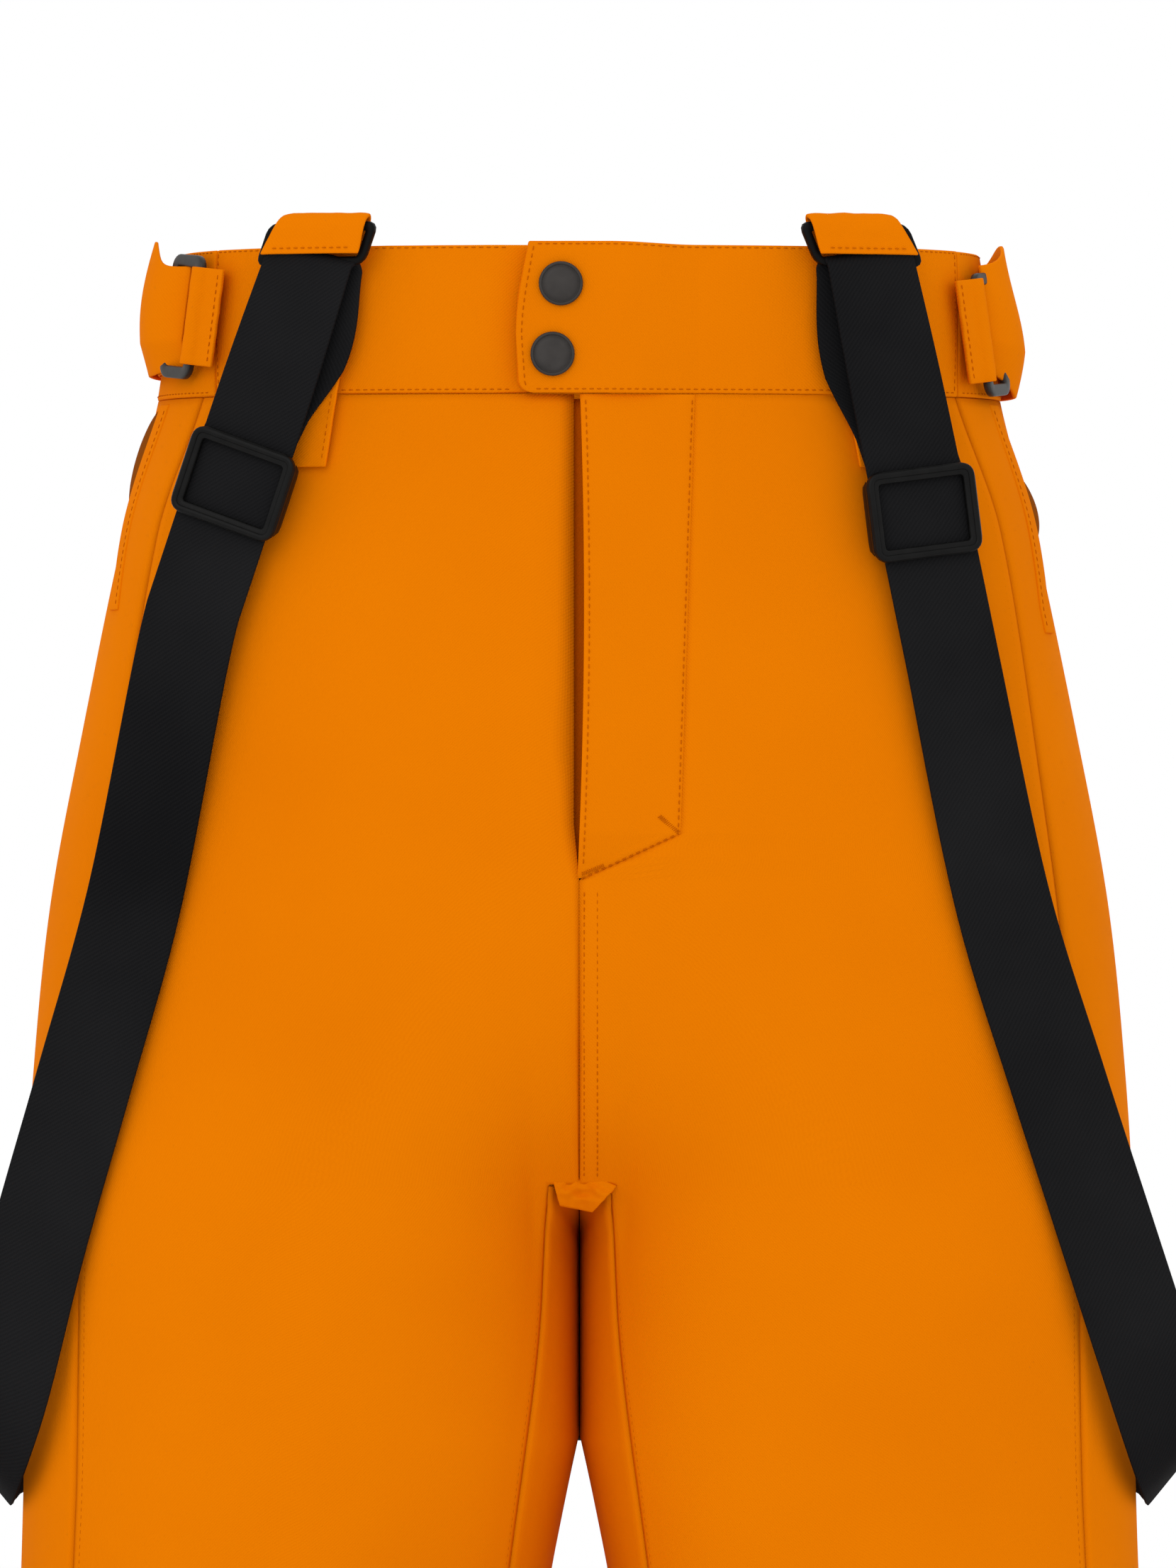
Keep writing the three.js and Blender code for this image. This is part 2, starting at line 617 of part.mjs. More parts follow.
// ---- Waist adjusters: a ring on an anchor loop, and a pull tab doubled back through it ----
for (const [name, { side, angle, height }] of Object.entries(ADJUSTERS)) {
  const centre = new THREE.Vector3(...bodyPoint(side, angle, height, BAND_OUTSET + 4.6));
  const ahead = new THREE.Vector3(...bodyPoint(side, angle + 0.05, height, BAND_OUTSET + 4.6));
  const above = new THREE.Vector3(...bodyPoint(side, angle, height + 10, BAND_OUTSET + 4.6));
  const up = above.sub(centre).normalize();
  const forward = ahead.sub(centre).normalize().multiplyScalar(-side);
  const inward = new THREE.Vector3().crossVectors(up, forward).normalize();
  const alongX = new THREE.Vector3().crossVectors(inward, up);
  const mount = new THREE.Group();
  mount.quaternion.setFromRotationMatrix(new THREE.Matrix4().makeBasis(alongX, inward, up));
  mount.position.copy(centre);
  trousers.add(mount);
  const front = -side;
  const half = ADJUSTER_RING_HEIGHT / 2;

  const barX = 9.5;
  const sideBar = (x) => {
    const rod = new THREE.CylinderGeometry(1.5, 1.5, 2 * half - 2, 10);
    return rod.rotateX(Math.PI / 2).translate(x, 0, 0);
  };
  const endBar = (low) => box([-11, -1.5, low], [11, 1.5, low + 3]);
  const adjusterRing = fuse(sideBar(-barX), sideBar(barX), endBar(-half), endBar(half - 3));
  add(`adjuster_ring_${name}`, adjusterRing, darkMetal, mount);

  const anchorShape = new THREE.Shape();
  anchorShape.absarc(front * barX, 0, 3.5, 0, Math.PI * 2, false);
  const barHole = new THREE.Path();
  barHole.absarc(front * barX, 0, 1.9, 0, Math.PI * 2, true);
  anchorShape.holes.push(barHole);
  const loopHeight = 36;
  const loopOptions = { depth: loopHeight, bevelEnabled: false, curveSegments: 6 };
  const loop = new THREE.ExtrudeGeometry(anchorShape, loopOptions);
  const near = front * 11.8;
  const far = front * 24;
  const tail = box([Math.min(near, far), 1.2, -loopHeight / 2], [Math.max(near, far), 2.8, loopHeight / 2]);
  add(`adjuster_anchor_${name}`, fuse(loop.translate(0, 0, -loopHeight / 2), tail), shellCloth, mount);

  const stripRows = [-6, -20, -34, -48];
  const foldStep = 0.075;
  const stripEnd = angle - 0.9;
  add(`adjuster_strip_${name}`, slab(10, stripRows, (u, z, layer) => {
    const outset = BAND_OUTSET + 0.5 + 0.9 * layer;
    return bodyPoint(side, lerp(angle - foldStep, stripEnd, u), z, outset);
  }), shellCloth);

  const tabEnd = angle - 0.75;
  add(`adjuster_tab_${name}`, slab(9, [-7, -27, -47], (u, z, layer) => {
    const lift = lerp(7.9, 2.4, clamp(u / 0.4, 0, 1));
    const outset = BAND_OUTSET + lift + 1.6 * layer;
    return bodyPoint(side, lerp(angle - foldStep, tabEnd, u), z, outset);
  }), shellCloth);
}

export default trousers;
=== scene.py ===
import math

import bmesh
import bpy
from mathutils import Matrix, Vector, noise


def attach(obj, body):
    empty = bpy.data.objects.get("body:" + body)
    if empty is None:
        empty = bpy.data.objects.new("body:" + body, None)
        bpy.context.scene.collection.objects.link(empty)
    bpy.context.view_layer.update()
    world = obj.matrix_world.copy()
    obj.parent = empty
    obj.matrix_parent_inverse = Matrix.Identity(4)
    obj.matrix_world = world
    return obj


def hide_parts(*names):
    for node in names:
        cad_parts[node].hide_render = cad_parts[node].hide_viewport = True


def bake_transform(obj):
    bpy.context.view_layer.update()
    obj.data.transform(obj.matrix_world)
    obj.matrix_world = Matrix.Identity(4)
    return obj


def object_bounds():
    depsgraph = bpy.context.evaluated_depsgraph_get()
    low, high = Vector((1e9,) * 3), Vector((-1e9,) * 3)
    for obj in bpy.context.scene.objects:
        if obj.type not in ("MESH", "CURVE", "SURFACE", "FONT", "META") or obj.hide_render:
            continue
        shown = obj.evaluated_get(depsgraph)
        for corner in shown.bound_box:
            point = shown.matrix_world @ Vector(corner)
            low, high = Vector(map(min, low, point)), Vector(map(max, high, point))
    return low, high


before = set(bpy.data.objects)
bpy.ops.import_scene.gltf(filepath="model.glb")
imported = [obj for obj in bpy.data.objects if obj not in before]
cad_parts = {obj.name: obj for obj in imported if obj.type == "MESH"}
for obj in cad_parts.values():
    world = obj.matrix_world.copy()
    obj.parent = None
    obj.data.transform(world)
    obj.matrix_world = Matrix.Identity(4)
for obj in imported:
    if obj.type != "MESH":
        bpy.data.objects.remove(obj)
cad_low, cad_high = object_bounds()

MM = 0.001
SIDES = {"left": 1, "right": -1}

# ---------------------------------------------------------------------------
# Studio. A long lens looks level at the waist and thighs from well in front,
# in even white light from all round, with one broad soft lamp above the lens.
# ---------------------------------------------------------------------------
VIEW_HEIGHT = 0.608
LENS_DISTANCE = 4.6
FRONT_PLANE = -0.06
SENSOR = 36.0
VIEW_CENTRE_X = 0.0034
VIEW_CENTRE_Z = -0.208
FLOOR_GAP = 0.02

lens = bpy.data.cameras.new("camera")
lens.sensor_width = SENSOR
lens.lens = SENSOR * LENS_DISTANCE / VIEW_HEIGHT
lens.clip_end = 50
camera = bpy.data.objects.new("camera", lens)
camera.location = (VIEW_CENTRE_X, FRONT_PLANE - LENS_DISTANCE, VIEW_CENTRE_Z)
camera.rotation_euler = (math.pi / 2, 0, 0)
bpy.context.scene.collection.objects.link(camera)
bpy.context.scene.camera = camera
bpy.context.scene.view_settings.view_transform = "Standard"

world = bpy.data.worlds.new("studio")
world.use_nodes = True
world.node_tree.nodes["Background"].inputs["Color"].default_value = (1, 1, 1, 1)
world.node_tree.nodes["Background"].inputs["Strength"].default_value = 1.0
bpy.context.scene.world = world

softbox = bpy.data.lights.new("softbox", "AREA")
softbox.shape = "RECTANGLE"
softbox.size = 1.6
softbox.size_y = 1.2
softbox.energy = 9
lamp = bpy.data.objects.new("softbox", softbox)
lamp.location = (-0.7, -2.2, 0.9)
lamp.rotation_euler = Vector((0.7, 2.2, -1.1)).to_track_quat("-Z", "Y").to_euler()
bpy.context.scene.collection.objects.link(lamp)


def new_material(name):
    made = bpy.data.materials.new(name)
    made.use_nodes = True
    return made, made.node_tree.nodes, made.node_tree.links, made.node_tree.nodes["Principled BSDF"]


def object_from(bm, name, material, smooth=True):
    mesh = bpy.data.meshes.new(name)
    bm.to_mesh(mesh)
    bm.free()
    for face in mesh.polygons:
        face.use_smooth = smooth
    made = bpy.data.objects.new(name, mesh)
    mesh.materials.append(material)
    bpy.context.scene.collection.objects.link(made)
    return made


floor_material, _, _, floor_shader = new_material("pale_floor")
floor_shader.inputs["Base Color"].default_value = (0.86, 0.86, 0.86, 1)
floor_shader.inputs["Roughness"].default_value = 0.9
floor_mesh = bmesh.new()
bmesh.ops.create_grid(floor_mesh, x_segments=1, y_segments=1, size=6)
bmesh.ops.translate(floor_mesh, verts=floor_mesh.verts, vec=(0, 0, cad_low[2] - FLOOR_GAP))
floor = object_from(floor_mesh, "floor", floor_material, smooth=False)

# ---------------------------------------------------------------------------
# Shell cloth. A tightly woven, coated twill in bright orange with a matt face,
# and a browner woven lining on its inside. The weave follows each cut piece.
# ---------------------------------------------------------------------------
ORANGE = (0.795, 0.196, 0.0006, 1)
ORANGE_SHADE = (0.745, 0.176, 0.0005, 1)
LINING_BROWN = (0.21, 0.055, 0.006, 1)
LINING_DARK = (0.15, 0.038, 0.005, 1)
# The thread is painted a darker orange than the cloth: painted shade standing in for the dark needle holes along
# each stitch row.
SHADED_THREAD_ORANGE = (0.60, 0.130, 0.0006, 1)


def woven(name, light, dark, twill_period, depth, roughness, coordinates="UV", sheen=0.0):
    """A twill: fine diagonal ribs crossed by threads, with a slow drift of shade over the piece."""
    made, nodes, links, shader = new_material(name)
    place = nodes.new("ShaderNodeTexCoord")
    ribs = nodes.new("ShaderNodeTexWave")
    ribs.bands_direction = "DIAGONAL"
    ribs.inputs["Scale"].default_value = 0.444 / twill_period
    ribs.inputs["Distortion"].default_value = 0.6
    ribs.inputs["Detail"].default_value = 1
    threads = nodes.new("ShaderNodeTexWave")
    threads.bands_direction = "X"
    threads.inputs["Scale"].default_value = 0.628 / twill_period
    threads.inputs["Distortion"].default_value = 1.2
    fibre = nodes.new("ShaderNodeTexNoise")
    fibre.inputs["Scale"].default_value = 1400
    fibre.inputs["Detail"].default_value = 3
    drift = nodes.new("ShaderNodeTexNoise")
    drift.inputs["Scale"].default_value = 9
    drift.inputs["Detail"].default_value = 4
    for texture in (ribs, threads, fibre):
        links.new(place.outputs[coordinates], texture.inputs["Vector"])
    links.new(place.outputs["Object"], drift.inputs["Vector"])
    weave = nodes.new("ShaderNodeMath")
    weave.operation = "MULTIPLY_ADD"
    weave.inputs[1].default_value = 0.45
    links.new(threads.outputs["Fac"], weave.inputs[0])
    links.new(ribs.outputs["Fac"], weave.inputs[2])
    grain = nodes.new("ShaderNodeMath")
    grain.operation = "ADD"
    links.new(weave.outputs[0], grain.inputs[0])
    links.new(fibre.outputs["Fac"], grain.inputs[1])
    tone = nodes.new("ShaderNodeMath")
    tone.operation = "MULTIPLY_ADD"
    tone.inputs[1].default_value = 0.14
    links.new(grain.outputs[0], tone.inputs[0])
    links.new(drift.outputs["Fac"], tone.inputs[2])
    ramp = nodes.new("ShaderNodeValToRGB")
    ramp.color_ramp.elements[0].position = 0.4
    ramp.color_ramp.elements[0].color = dark
    ramp.color_ramp.elements[1].position = 0.9
    ramp.color_ramp.elements[1].color = light
    links.new(tone.outputs[0], ramp.inputs["Fac"])
    links.new(ramp.outputs["Color"], shader.inputs["Base Color"])
    bump = nodes.new("ShaderNodeBump")
    bump.inputs["Strength"].default_value = 0.5
    bump.inputs["Distance"].default_value = depth
    links.new(grain.outputs[0], bump.inputs["Height"])
    links.new(bump.outputs["Normal"], shader.inputs["Normal"])
    shader.inputs["Roughness"].default_value = roughness
    shader.inputs["Specular IOR Level"].default_value = 0.01
    shader.inputs["Specular Tint"].default_value = light
    shader.inputs["Sheen Weight"].default_value = sheen
    shader.inputs["Sheen Tint"].default_value = light
    return made


shell_cloth = woven("shell_cloth", ORANGE, ORANGE_SHADE, 0.0009, 0.0001, 0.85)
lining_cloth = woven("lining_cloth", LINING_BROWN, LINING_DARK, 0.0014, 0.0002, 0.9)
lining_on_cad = woven("pocket_lining", LINING_BROWN, LINING_DARK, 0.0014, 0.0002, 0.9, "Object")
# Both thread colours are darker than the shell cloth, as painted shade of the needle holes.
thread = woven("sewing_thread_painted_shade", SHADED_THREAD_ORANGE, (0.50, 0.100, 0.0006, 1), 0.0004, 0.0001, 0.7, "Object")

# ---------------------------------------------------------------------------
# The body the cloth is cut for. Every level cut is a rounded oval; the two leg
# ovals merge above the crotch. Stations are [height, value] in millimetres.
# ---------------------------------------------------------------------------
HEM_HEIGHT = -1080.0
CROTCH_HEIGHT = -363.0
LEGS_PART_HEIGHT = -464.0
FORK_START = -150.0
FORK_ROUNDING = 0.16
SEAM_HALF_GAP = 0.15
OVAL_POWER = 2.5
OUTER_HALF_WIDTH = [
    (0, 156), (-58, 165), (-110, 179), (-190, 196), (-256, 208),
    (-322, 214.5), (-380, 217.5), (-487, 218.5), (-700, 226), (HEM_HEIGHT, 238),
]
HALF_DEPTH = [
    (0, 105), (-58, 106), (-200, 115), (-300, 112), (-363, 104), (-500, 94), (-650, 86), (HEM_HEIGHT, 78),
]
CENTRE_DEPTH = [(0, 0), (-58, 1.5), (-200, 9), (-300, 9), (-363, 7), (-500, 4), (HEM_HEIGHT, 6)]


def clamp(value, low=0.0, high=1.0):
    return max(low, min(high, value))


def lerp(a, b, share):
    return a + (b - a) * share


def along(stations, z):
    """A smooth curve through the stations, level beyond its ends."""
    if z >= stations[0][0]:
        return stations[0][1]
    if z <= stations[-1][0]:
        return stations[-1][1]
    k = 0
    while z < stations[k + 1][0]:
        k += 1

    def slope(i):
        before, after = stations[max(i - 1, 0)], stations[min(i + 1, len(stations) - 1)]
        return (after[1] - before[1]) / (after[0] - before[0])

    (z0, v0), (z1, v1) = stations[k], stations[k + 1]
    span = z1 - z0
    s = (z - z0) / span
    rise = s * s * (3 - 2 * s)
    leave = slope(k) * span * s * (1 - s) ** 2
    arrive = slope(k + 1) * span * s * s * (s - 1)
    return v0 + (v1 - v0) * rise + leave + arrive


def section_at(z):
    outer = along(OUTER_HALF_WIDTH, z)
    reach = max(0.0, (FORK_START - z) / (FORK_START - CROTCH_HEIGHT)) ** 1.6
    round_off = max(FORK_ROUNDING - abs(reach - 1), 0.0)
    fork = min(reach, 1.0) - round_off ** 2 / (4 * FORK_ROUNDING)
    spread = max(0.0, LEGS_PART_HEIGHT - z)
    inner = SEAM_HALF_GAP + 55 * (1 - math.exp(-spread / 240))
    centre = fork * (outer + inner) / 2
    return outer, centre, outer - centre, along(HALF_DEPTH, z), along(CENTRE_DEPTH, z)


def signed_power(value, exponent):
    return math.copysign(abs(value) ** exponent, value)


def body_point(side, angle, z, outset=0.0):
    """Angle 0 is the outer side, 90 degrees the front, 180 the inside leg, -90 the back."""
    _, centre, half_width, half_depth, centre_y = section_at(z)
    x = centre + (half_width + outset) * signed_power(math.cos(angle), 2 / OVAL_POWER)
    y = centre_y - (half_depth + outset) * signed_power(math.sin(angle), 2 / OVAL_POWER)
    if abs(angle) > math.pi / 2 and FORK_START > z > LEGS_PART_HEIGHT:
        x = max(x, SEAM_HALF_GAP)
    return Vector((side * x, y, z))


def angle_at_x(x, z, outset=0.0):
    _, centre, half_width, _, _ = section_at(z)
    share = clamp((x - centre) / (half_width + outset), -1, 1)
    return math.acos(signed_power(share, OVAL_POWER / 2))


def front_point(x, z, outset=0.0):
    angle = angle_at_x(abs(x), z, outset)
    point = body_point(1, angle, z, outset)
    return Vector((x, point.y, z))


def relief(point):
    """How far the hanging cloth stands off the form here: slow drift, and soft folds lower down."""
    x, y, z = point
    drift = 0.7 * noise.noise(Vector((x / 70, y / 70, z / 120 + 3.1)))
    low = clamp((-470 - z) / 160)
    fold = noise.noise(Vector((x / 55 + 7.3, y / 55, z / 95)))
    knee = math.exp(-((z + 640) / 70) ** 2) * noise.noise(Vector((x / 80, y / 60 + 4.4, z / 26)))
    ankle = math.exp(-((z + 985) / 60) ** 2) * noise.noise(Vector((x / 85 + 1.7, y / 70, z / 21)))
    behind = clamp((y - 10) / 60)
    seat = math.exp(-((z + 372) / 34) ** 2) * behind * noise.noise(Vector((x / 70, 2.2, z / 15 + abs(x) / 60)))
    return drift + low * 3.0 * fold + 4.5 * knee + 5.0 * ankle + 3.0 * seat


def shaped_grid(name, columns, heights, place, flat, material, facing=None, keep=None):
    """A sheet of cloth: place(u, z) gives each point in millimetres; its UV map is the flat cut in metres."""
    bm = bmesh.new()
    cut = bm.loops.layers.uv.new("cut")
    bmesh.ops.create_grid(bm, x_segments=columns, y_segments=len(heights) - 1, size=1)
    shares = {v: ((v.co.x + 1) / 2, (v.co.y + 1) / 2) for v in bm.verts}
    last = len(heights) - 1
    for face in bm.faces:
        for loop in face.loops:
            u, w = shares[loop.vert]
            down = (heights[round(w * last)] - heights[0]) / (heights[last] - heights[0])
            loop[cut].uv = (u * flat[0], down * flat[1])
    if keep:
        waste = []
        for face in bm.faces:
            middle = face.calc_center_median()
            row = int((middle.y + 1) / 2 * last)
            if not keep((middle.x + 1) / 2, (heights[row] + heights[row + 1]) / 2):
                waste.append(face)
        bmesh.ops.delete(bm, geom=waste, context="FACES")
        shares = {v: share for v, share in shares.items() if v.is_valid}
    for v, (u, w) in shares.items():
        v.co = place(u, heights[round(w * last)]) * MM
    bm.normal_update()
    bm.faces.ensure_lookup_table()
    middle = bm.faces[len(bm.faces) // 2]
    away = facing(middle.calc_center_median() / MM) if facing else Vector((0, -1, 0))
    if middle.normal.dot(away) < 0:
        bmesh.ops.reverse_faces(bm, faces=bm.faces)
    return object_from(bm, name, material)


def thicken(piece, thickness, offset=-1.0, inner=None):
    wall = piece.modifiers.new("thickness", "SOLIDIFY")
    wall.thickness = thickness * MM
    wall.offset = offset
    if inner:
        piece.data.materials.append(inner)
        wall.material_offset = 1
    return piece


def levels(*runs):
    """Heights from (start, end, steps) runs laid end to end."""
    heights = [runs[0][0]]
    for start, end, steps in runs:
        heights += [lerp(start, end, (k + 1) / steps) for k in range(steps)]
    return heights


def away_from_leg(side):
    def away(point):
        _, centre, _, _, centre_y = section_at(point.z)
        return Vector((point.x - side * centre, point.y - centre_y, 0))
    return away


# ---------------------------------------------------------------------------
# Stitches. Lockstitch in thick orange thread, each stitch a small bead that
# sinks a little into the cloth, and bartacks of close stitches at the stress points.
# ---------------------------------------------------------------------------
STITCH_PITCH = 2.9
STITCH_LENGTH = 2.0
STITCH_RADIUS = 0.24


def add_stitch(bm, point, direction, normal, length=STITCH_LENGTH):
    direction = direction.normalized()
    across = normal.cross(direction).normalized()
    up = direction.cross(across)
    turn = Matrix((direction, across, up)).transposed().to_4x4()
    size = Matrix.Diagonal((length / 2 * MM, STITCH_RADIUS * MM, STITCH_RADIUS * MM * 0.8, 1))
    bmesh.ops.create_icosphere(bm, subdivisions=1, radius=1, matrix=Matrix.Translation(point * MM) @ turn @ size)


def stitch_row(bm, path, start, end, proud=0.12, steps=400):
    """Stitches along path(t), which gives a point in millimetres and the outward normal there."""
    points = [path(lerp(start, end, k / steps)) for k in range(steps + 1)]
    travelled, next_at = 0.0, STITCH_PITCH / 2
    for (a, normal), (b, _) in zip(points, points[1:]):
        step = (b - a).length
        while step > 0 and travelled + step >= next_at:
            spot = a.lerp(b, (next_at - travelled) / step)
            add_stitch(bm, spot + normal * proud, b - a, normal)
            next_at += STITCH_PITCH
        travelled += step


def bartack(bm, path, start, end, width=2.2, pitch=0.75):
    a, normal = path(start)
    b, _ = path(end)
    direction = (b - a).normalized()
    across = normal.cross(direction).normalized()
    count = max(2, int((b - a).length / pitch))
    for k in range(count + 1):
        add_stitch(bm, a.lerp(b, k / count) + normal * 0.25, across + direction * 0.25, normal, width)


# ---------------------------------------------------------------------------
# Trouser panels: two fronts, two backs and a narrow gusset inside each leg, cut
# in shell cloth, joined with felled seams and topstitched once beside each seam.
# ---------------------------------------------------------------------------
CLOTH = 2.0
FORM_RADIUS = 105.0
BAND_BOTTOM = -58.3
FLY_TOP_X = 44.5
FLY_LOW_X = 39.0
FLY_STRAIGHT_END = -227.0
FLY_CURVE_END = -245.0
FLY_OPENING = 3.2
SIDE_SEAM_INSET = [(-58, 19), (-110, 15), (-240, 22), (-400, 24), (-700, 20)]
GUSSET_ANGLE = 0.64
GUSSET_HALF_WIDTH = [(CROTCH_HEIGHT, 11.5), (-383, 13), (-420, 15), (-460, 19.5), (-520, 28)]
PANEL_END = HEM_HEIGHT + 35.0
PANEL_HEIGHTS = levels(
    (BAND_BOTTOM, FLY_STRAIGHT_END, 46), (FLY_STRAIGHT_END, FLY_CURVE_END, 8), (FLY_CURVE_END, -355, 30),
    (-355, CROTCH_HEIGHT, 6), (CROTCH_HEIGHT, -367, 6), (-367, -520, 44), (-520, -640, 30), (-640, PANEL_END, 84))


def inside_seam_angle(z, outset=0.0):
    if z >= CROTCH_HEIGHT:
        return angle_at_x(SEAM_HALF_GAP, z, outset)
    if z > -520:
        return angle_at_x(along(GUSSET_HALF_WIDTH, z), z, outset)
    return math.pi - max(0.001, GUSSET_ANGLE * clamp((z + 640) / 120))


def side_seam_angle(z):
    return angle_at_x(section_at(z)[0] - along(SIDE_SEAM_INSET, z), z)


def fly_stitch_x(z):
    """The J-shaped line where the fly's placket is sewn to the left front."""
    if z >= FLY_STRAIGHT_END:
        return lerp(FLY_LOW_X, FLY_TOP_X, clamp((z - FLY_STRAIGHT_END) / (BAND_BOTTOM - FLY_STRAIGHT_END)))
    return lerp(SEAM_HALF_GAP, FLY_LOW_X, clamp((z - FLY_CURVE_END) / (FLY_STRAIGHT_END - FLY_CURVE_END)))


def seam_roll(distance):
    """The cloth dips where it turns under into a seam, distance in millimetres from the join."""
    return -0.45 * math.exp(-(distance / 0.9) ** 2) + 0.3 * math.exp(-((distance - 4) / 2.2) ** 2)


BRIDGE_X = 18.0


def bridge_y(x, z, front):
    """Above the crotch the cloth spans the fork nearly flat instead of following the two legs."""
    edge = front_point(BRIDGE_X, z).y
    if not front:
        edge = 2 * section_at(z)[4] - edge
    return edge + (4.0 if front else -4.0) * ((BRIDGE_X - min(abs(x), BRIDGE_X)) / BRIDGE_X) ** 2


def bridged(point, z, front, extra):
    """Pulls a point of cloth near the fork out to the bridge; the pull fades below the crotch."""
    if abs(point.x) >= BRIDGE_X or z < CROTCH_HEIGHT - 45:
        return point
    pull = clamp((z - CROTCH_HEIGHT + 45) / 45) ** 1.5
    if z < CROTCH_HEIGHT:
        pull *= clamp((abs(point.x) - 5) / 6.5)
    limit = bridge_y(point.x, z, front) + (-extra if front else extra)
    target = min(point.y, limit) if front else max(point.y, limit)
    point.y = lerp(point.y, target, pull)
    return point


def on_cloth(side, angle, z, extra=0.0):
    flat = body_point(side, angle, z)
    return body_point(side, angle, z, relief(flat) + extra)


def panel(name, side, start_of, end_of, columns, flat, gap_under_fly=False):
    """One cut panel. Columns past the gusset's edge stop at the crotch, where the gusset takes over."""
    top_end = end_of(CROTCH_HEIGHT)
    leg_end = end_of(CROTCH_HEIGHT - 0.01)
    start = start_of(CROTCH_HEIGHT)
    share = (leg_end - start) / (top_end - start)
    split = round(share * columns) / columns

    def angle_of(u, z):
        edge = lerp(start_of(z), end_of(z), share) if z >= CROTCH_HEIGHT else end_of(z)
        if u <= split:
            return lerp(start_of(z), edge, u / split)
        return lerp(edge, end_of(z), (u - split) / (1 - split))

    def place(u, z):
        angle = angle_of(u, z)
        near = min(abs(angle - start_of(z)), abs(end_of(z) - angle)) * FORM_RADIUS
        extra = seam_roll(near)
        if gap_under_fly and z > FLY_CURVE_END:
            point = body_point(side, angle, z)
            hollow = clamp((z - FLY_CURVE_END) / (BAND_BOTTOM - FLY_CURVE_END)) ** 0.5
            extra -= 1.6 * hollow * math.exp(-(abs(point.x) / 6.0) ** 2)
        point = on_cloth(side, angle, z, extra)
        if z >= CROTCH_HEIGHT and abs(point.x) < BRIDGE_X:
            seam = body_point(side, angle, z).x
            point.x = lerp(seam * 0.2, point.x, clamp(abs(seam) / 6))
        return bridged(point, z, angle > 0, extra)

    made = shaped_grid(name, columns, PANEL_HEIGHTS, place, flat, shell_cloth, away_from_leg(side),
                       keep=lambda u, z: z > CROTCH_HEIGHT or u < split)
    thicken(made, CLOTH, inner=lining_cloth)
    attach(made, "trousers")
    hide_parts(name, name.replace("_panel_", "_leg_"))
    return made


FRONT_CUT = (0.235, 0.99)
BACK_CUT = (0.35, 0.99)
GUSSET_CUT = (0.14, 0.277)
for word, side in SIDES.items():
    def front_end(z, side=side):
        if z < FLY_CURVE_END:
            return inside_seam_angle(z)
        if side > 0:
            return angle_at_x(max(SEAM_HALF_GAP, fly_stitch_x(z) - 0.6), z)
        opening = clamp((z - FLY_CURVE_END) / 22) ** 0.7
        return angle_at_x(lerp(SEAM_HALF_GAP, FLY_OPENING, opening), z)

    front = panel(f"front_panel_{word}", side, side_seam_angle, front_end, 72, FRONT_CUT, gap_under_fly=side < 0)
    back = panel(f"back_panel_{word}", side, lambda z: side_seam_angle(z) - 0.004,
                 lambda z: -inside_seam_angle(z), 92, BACK_CUT)

    def gusset_place(u, z, side=side):
        half = math.pi - inside_seam_angle(z) - 0.004
        crumple = math.exp(-((z + 372) / 12) ** 2) * 1.4 * math.sin(u * 19 + z / 3)
        extra = crumple * 0.5 + seam_roll((0.5 - abs(u - 0.5)) * 120)
        return bridged(on_cloth(side, math.pi + lerp(-half, half, u), z, extra), z, u < 0.5, extra)

    gusset_heights = levels((-363.8, -367, 4), (-367, -400, 14), (-400, -520, 30), (-520, -638, 30))
    gusset = shaped_grid(f"inner_leg_gusset_{word}", 40, gusset_heights, gusset_place, GUSSET_CUT,
                         shell_cloth, away_from_leg(side))
    thicken(gusset, CLOTH, inner=lining_cloth)
    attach(gusset, "trousers")
    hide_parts(f"inner_leg_gusset_{word}")

CROTCH_CUT = (0.036, 0.022)


def crotch_point(u, w):
    """A small gusset that turns under between the legs, creased where the four seams meet."""
    x = lerp(lerp(-11.5, -7.5, w), lerp(14.5, 5.0, w), u)
    z = lerp(lerp(-357, -363.5, u), lerp(-371.5, -374, u), w) + 1.6 * math.sin(math.pi * u) * (1 - w)
    leg = front_point(max(abs(x), 3.5), min(z, CROTCH_HEIGHT - 1)).y - 0.5
    flat = bridge_y(x, CROTCH_HEIGHT, True) - 0.9
    turned = flat + 5.0 * w ** 2.5
    crease = noise.noise(Vector((x / 4.5, z / 3.2, 8.0))) * math.sin(math.pi * u) ** 0.5 * math.sin(math.pi * w)
    return Vector((x, min(turned, leg) + 2.6 * crease, z))


crotch_rows = [k / 24 for k in range(25)]
crotch = shaped_grid("crotch_gusset", 40, crotch_rows, crotch_point, CROTCH_CUT, shell_cloth)
thicken(crotch, 1.4, inner=lining_cloth)
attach(crotch, "trousers")

panel_stitches = bmesh.new()


def cloth_path(side, angle_of, proud=0.0):
    def path(z):
        angle = angle_of(z)
        point = on_cloth(side, angle, z, proud)
        beside = on_cloth(side, angle + 0.01, z, proud) - point
        below = on_cloth(side, angle, z - 1, proud) - point
        normal = beside.cross(below).normalized()
        _, centre, _, _, centre_y = section_at(z)
        outward = Vector((point.x - side * centre, point.y - centre_y, 0))
        return point, normal if normal.dot(outward) > 0 else -normal
    return path


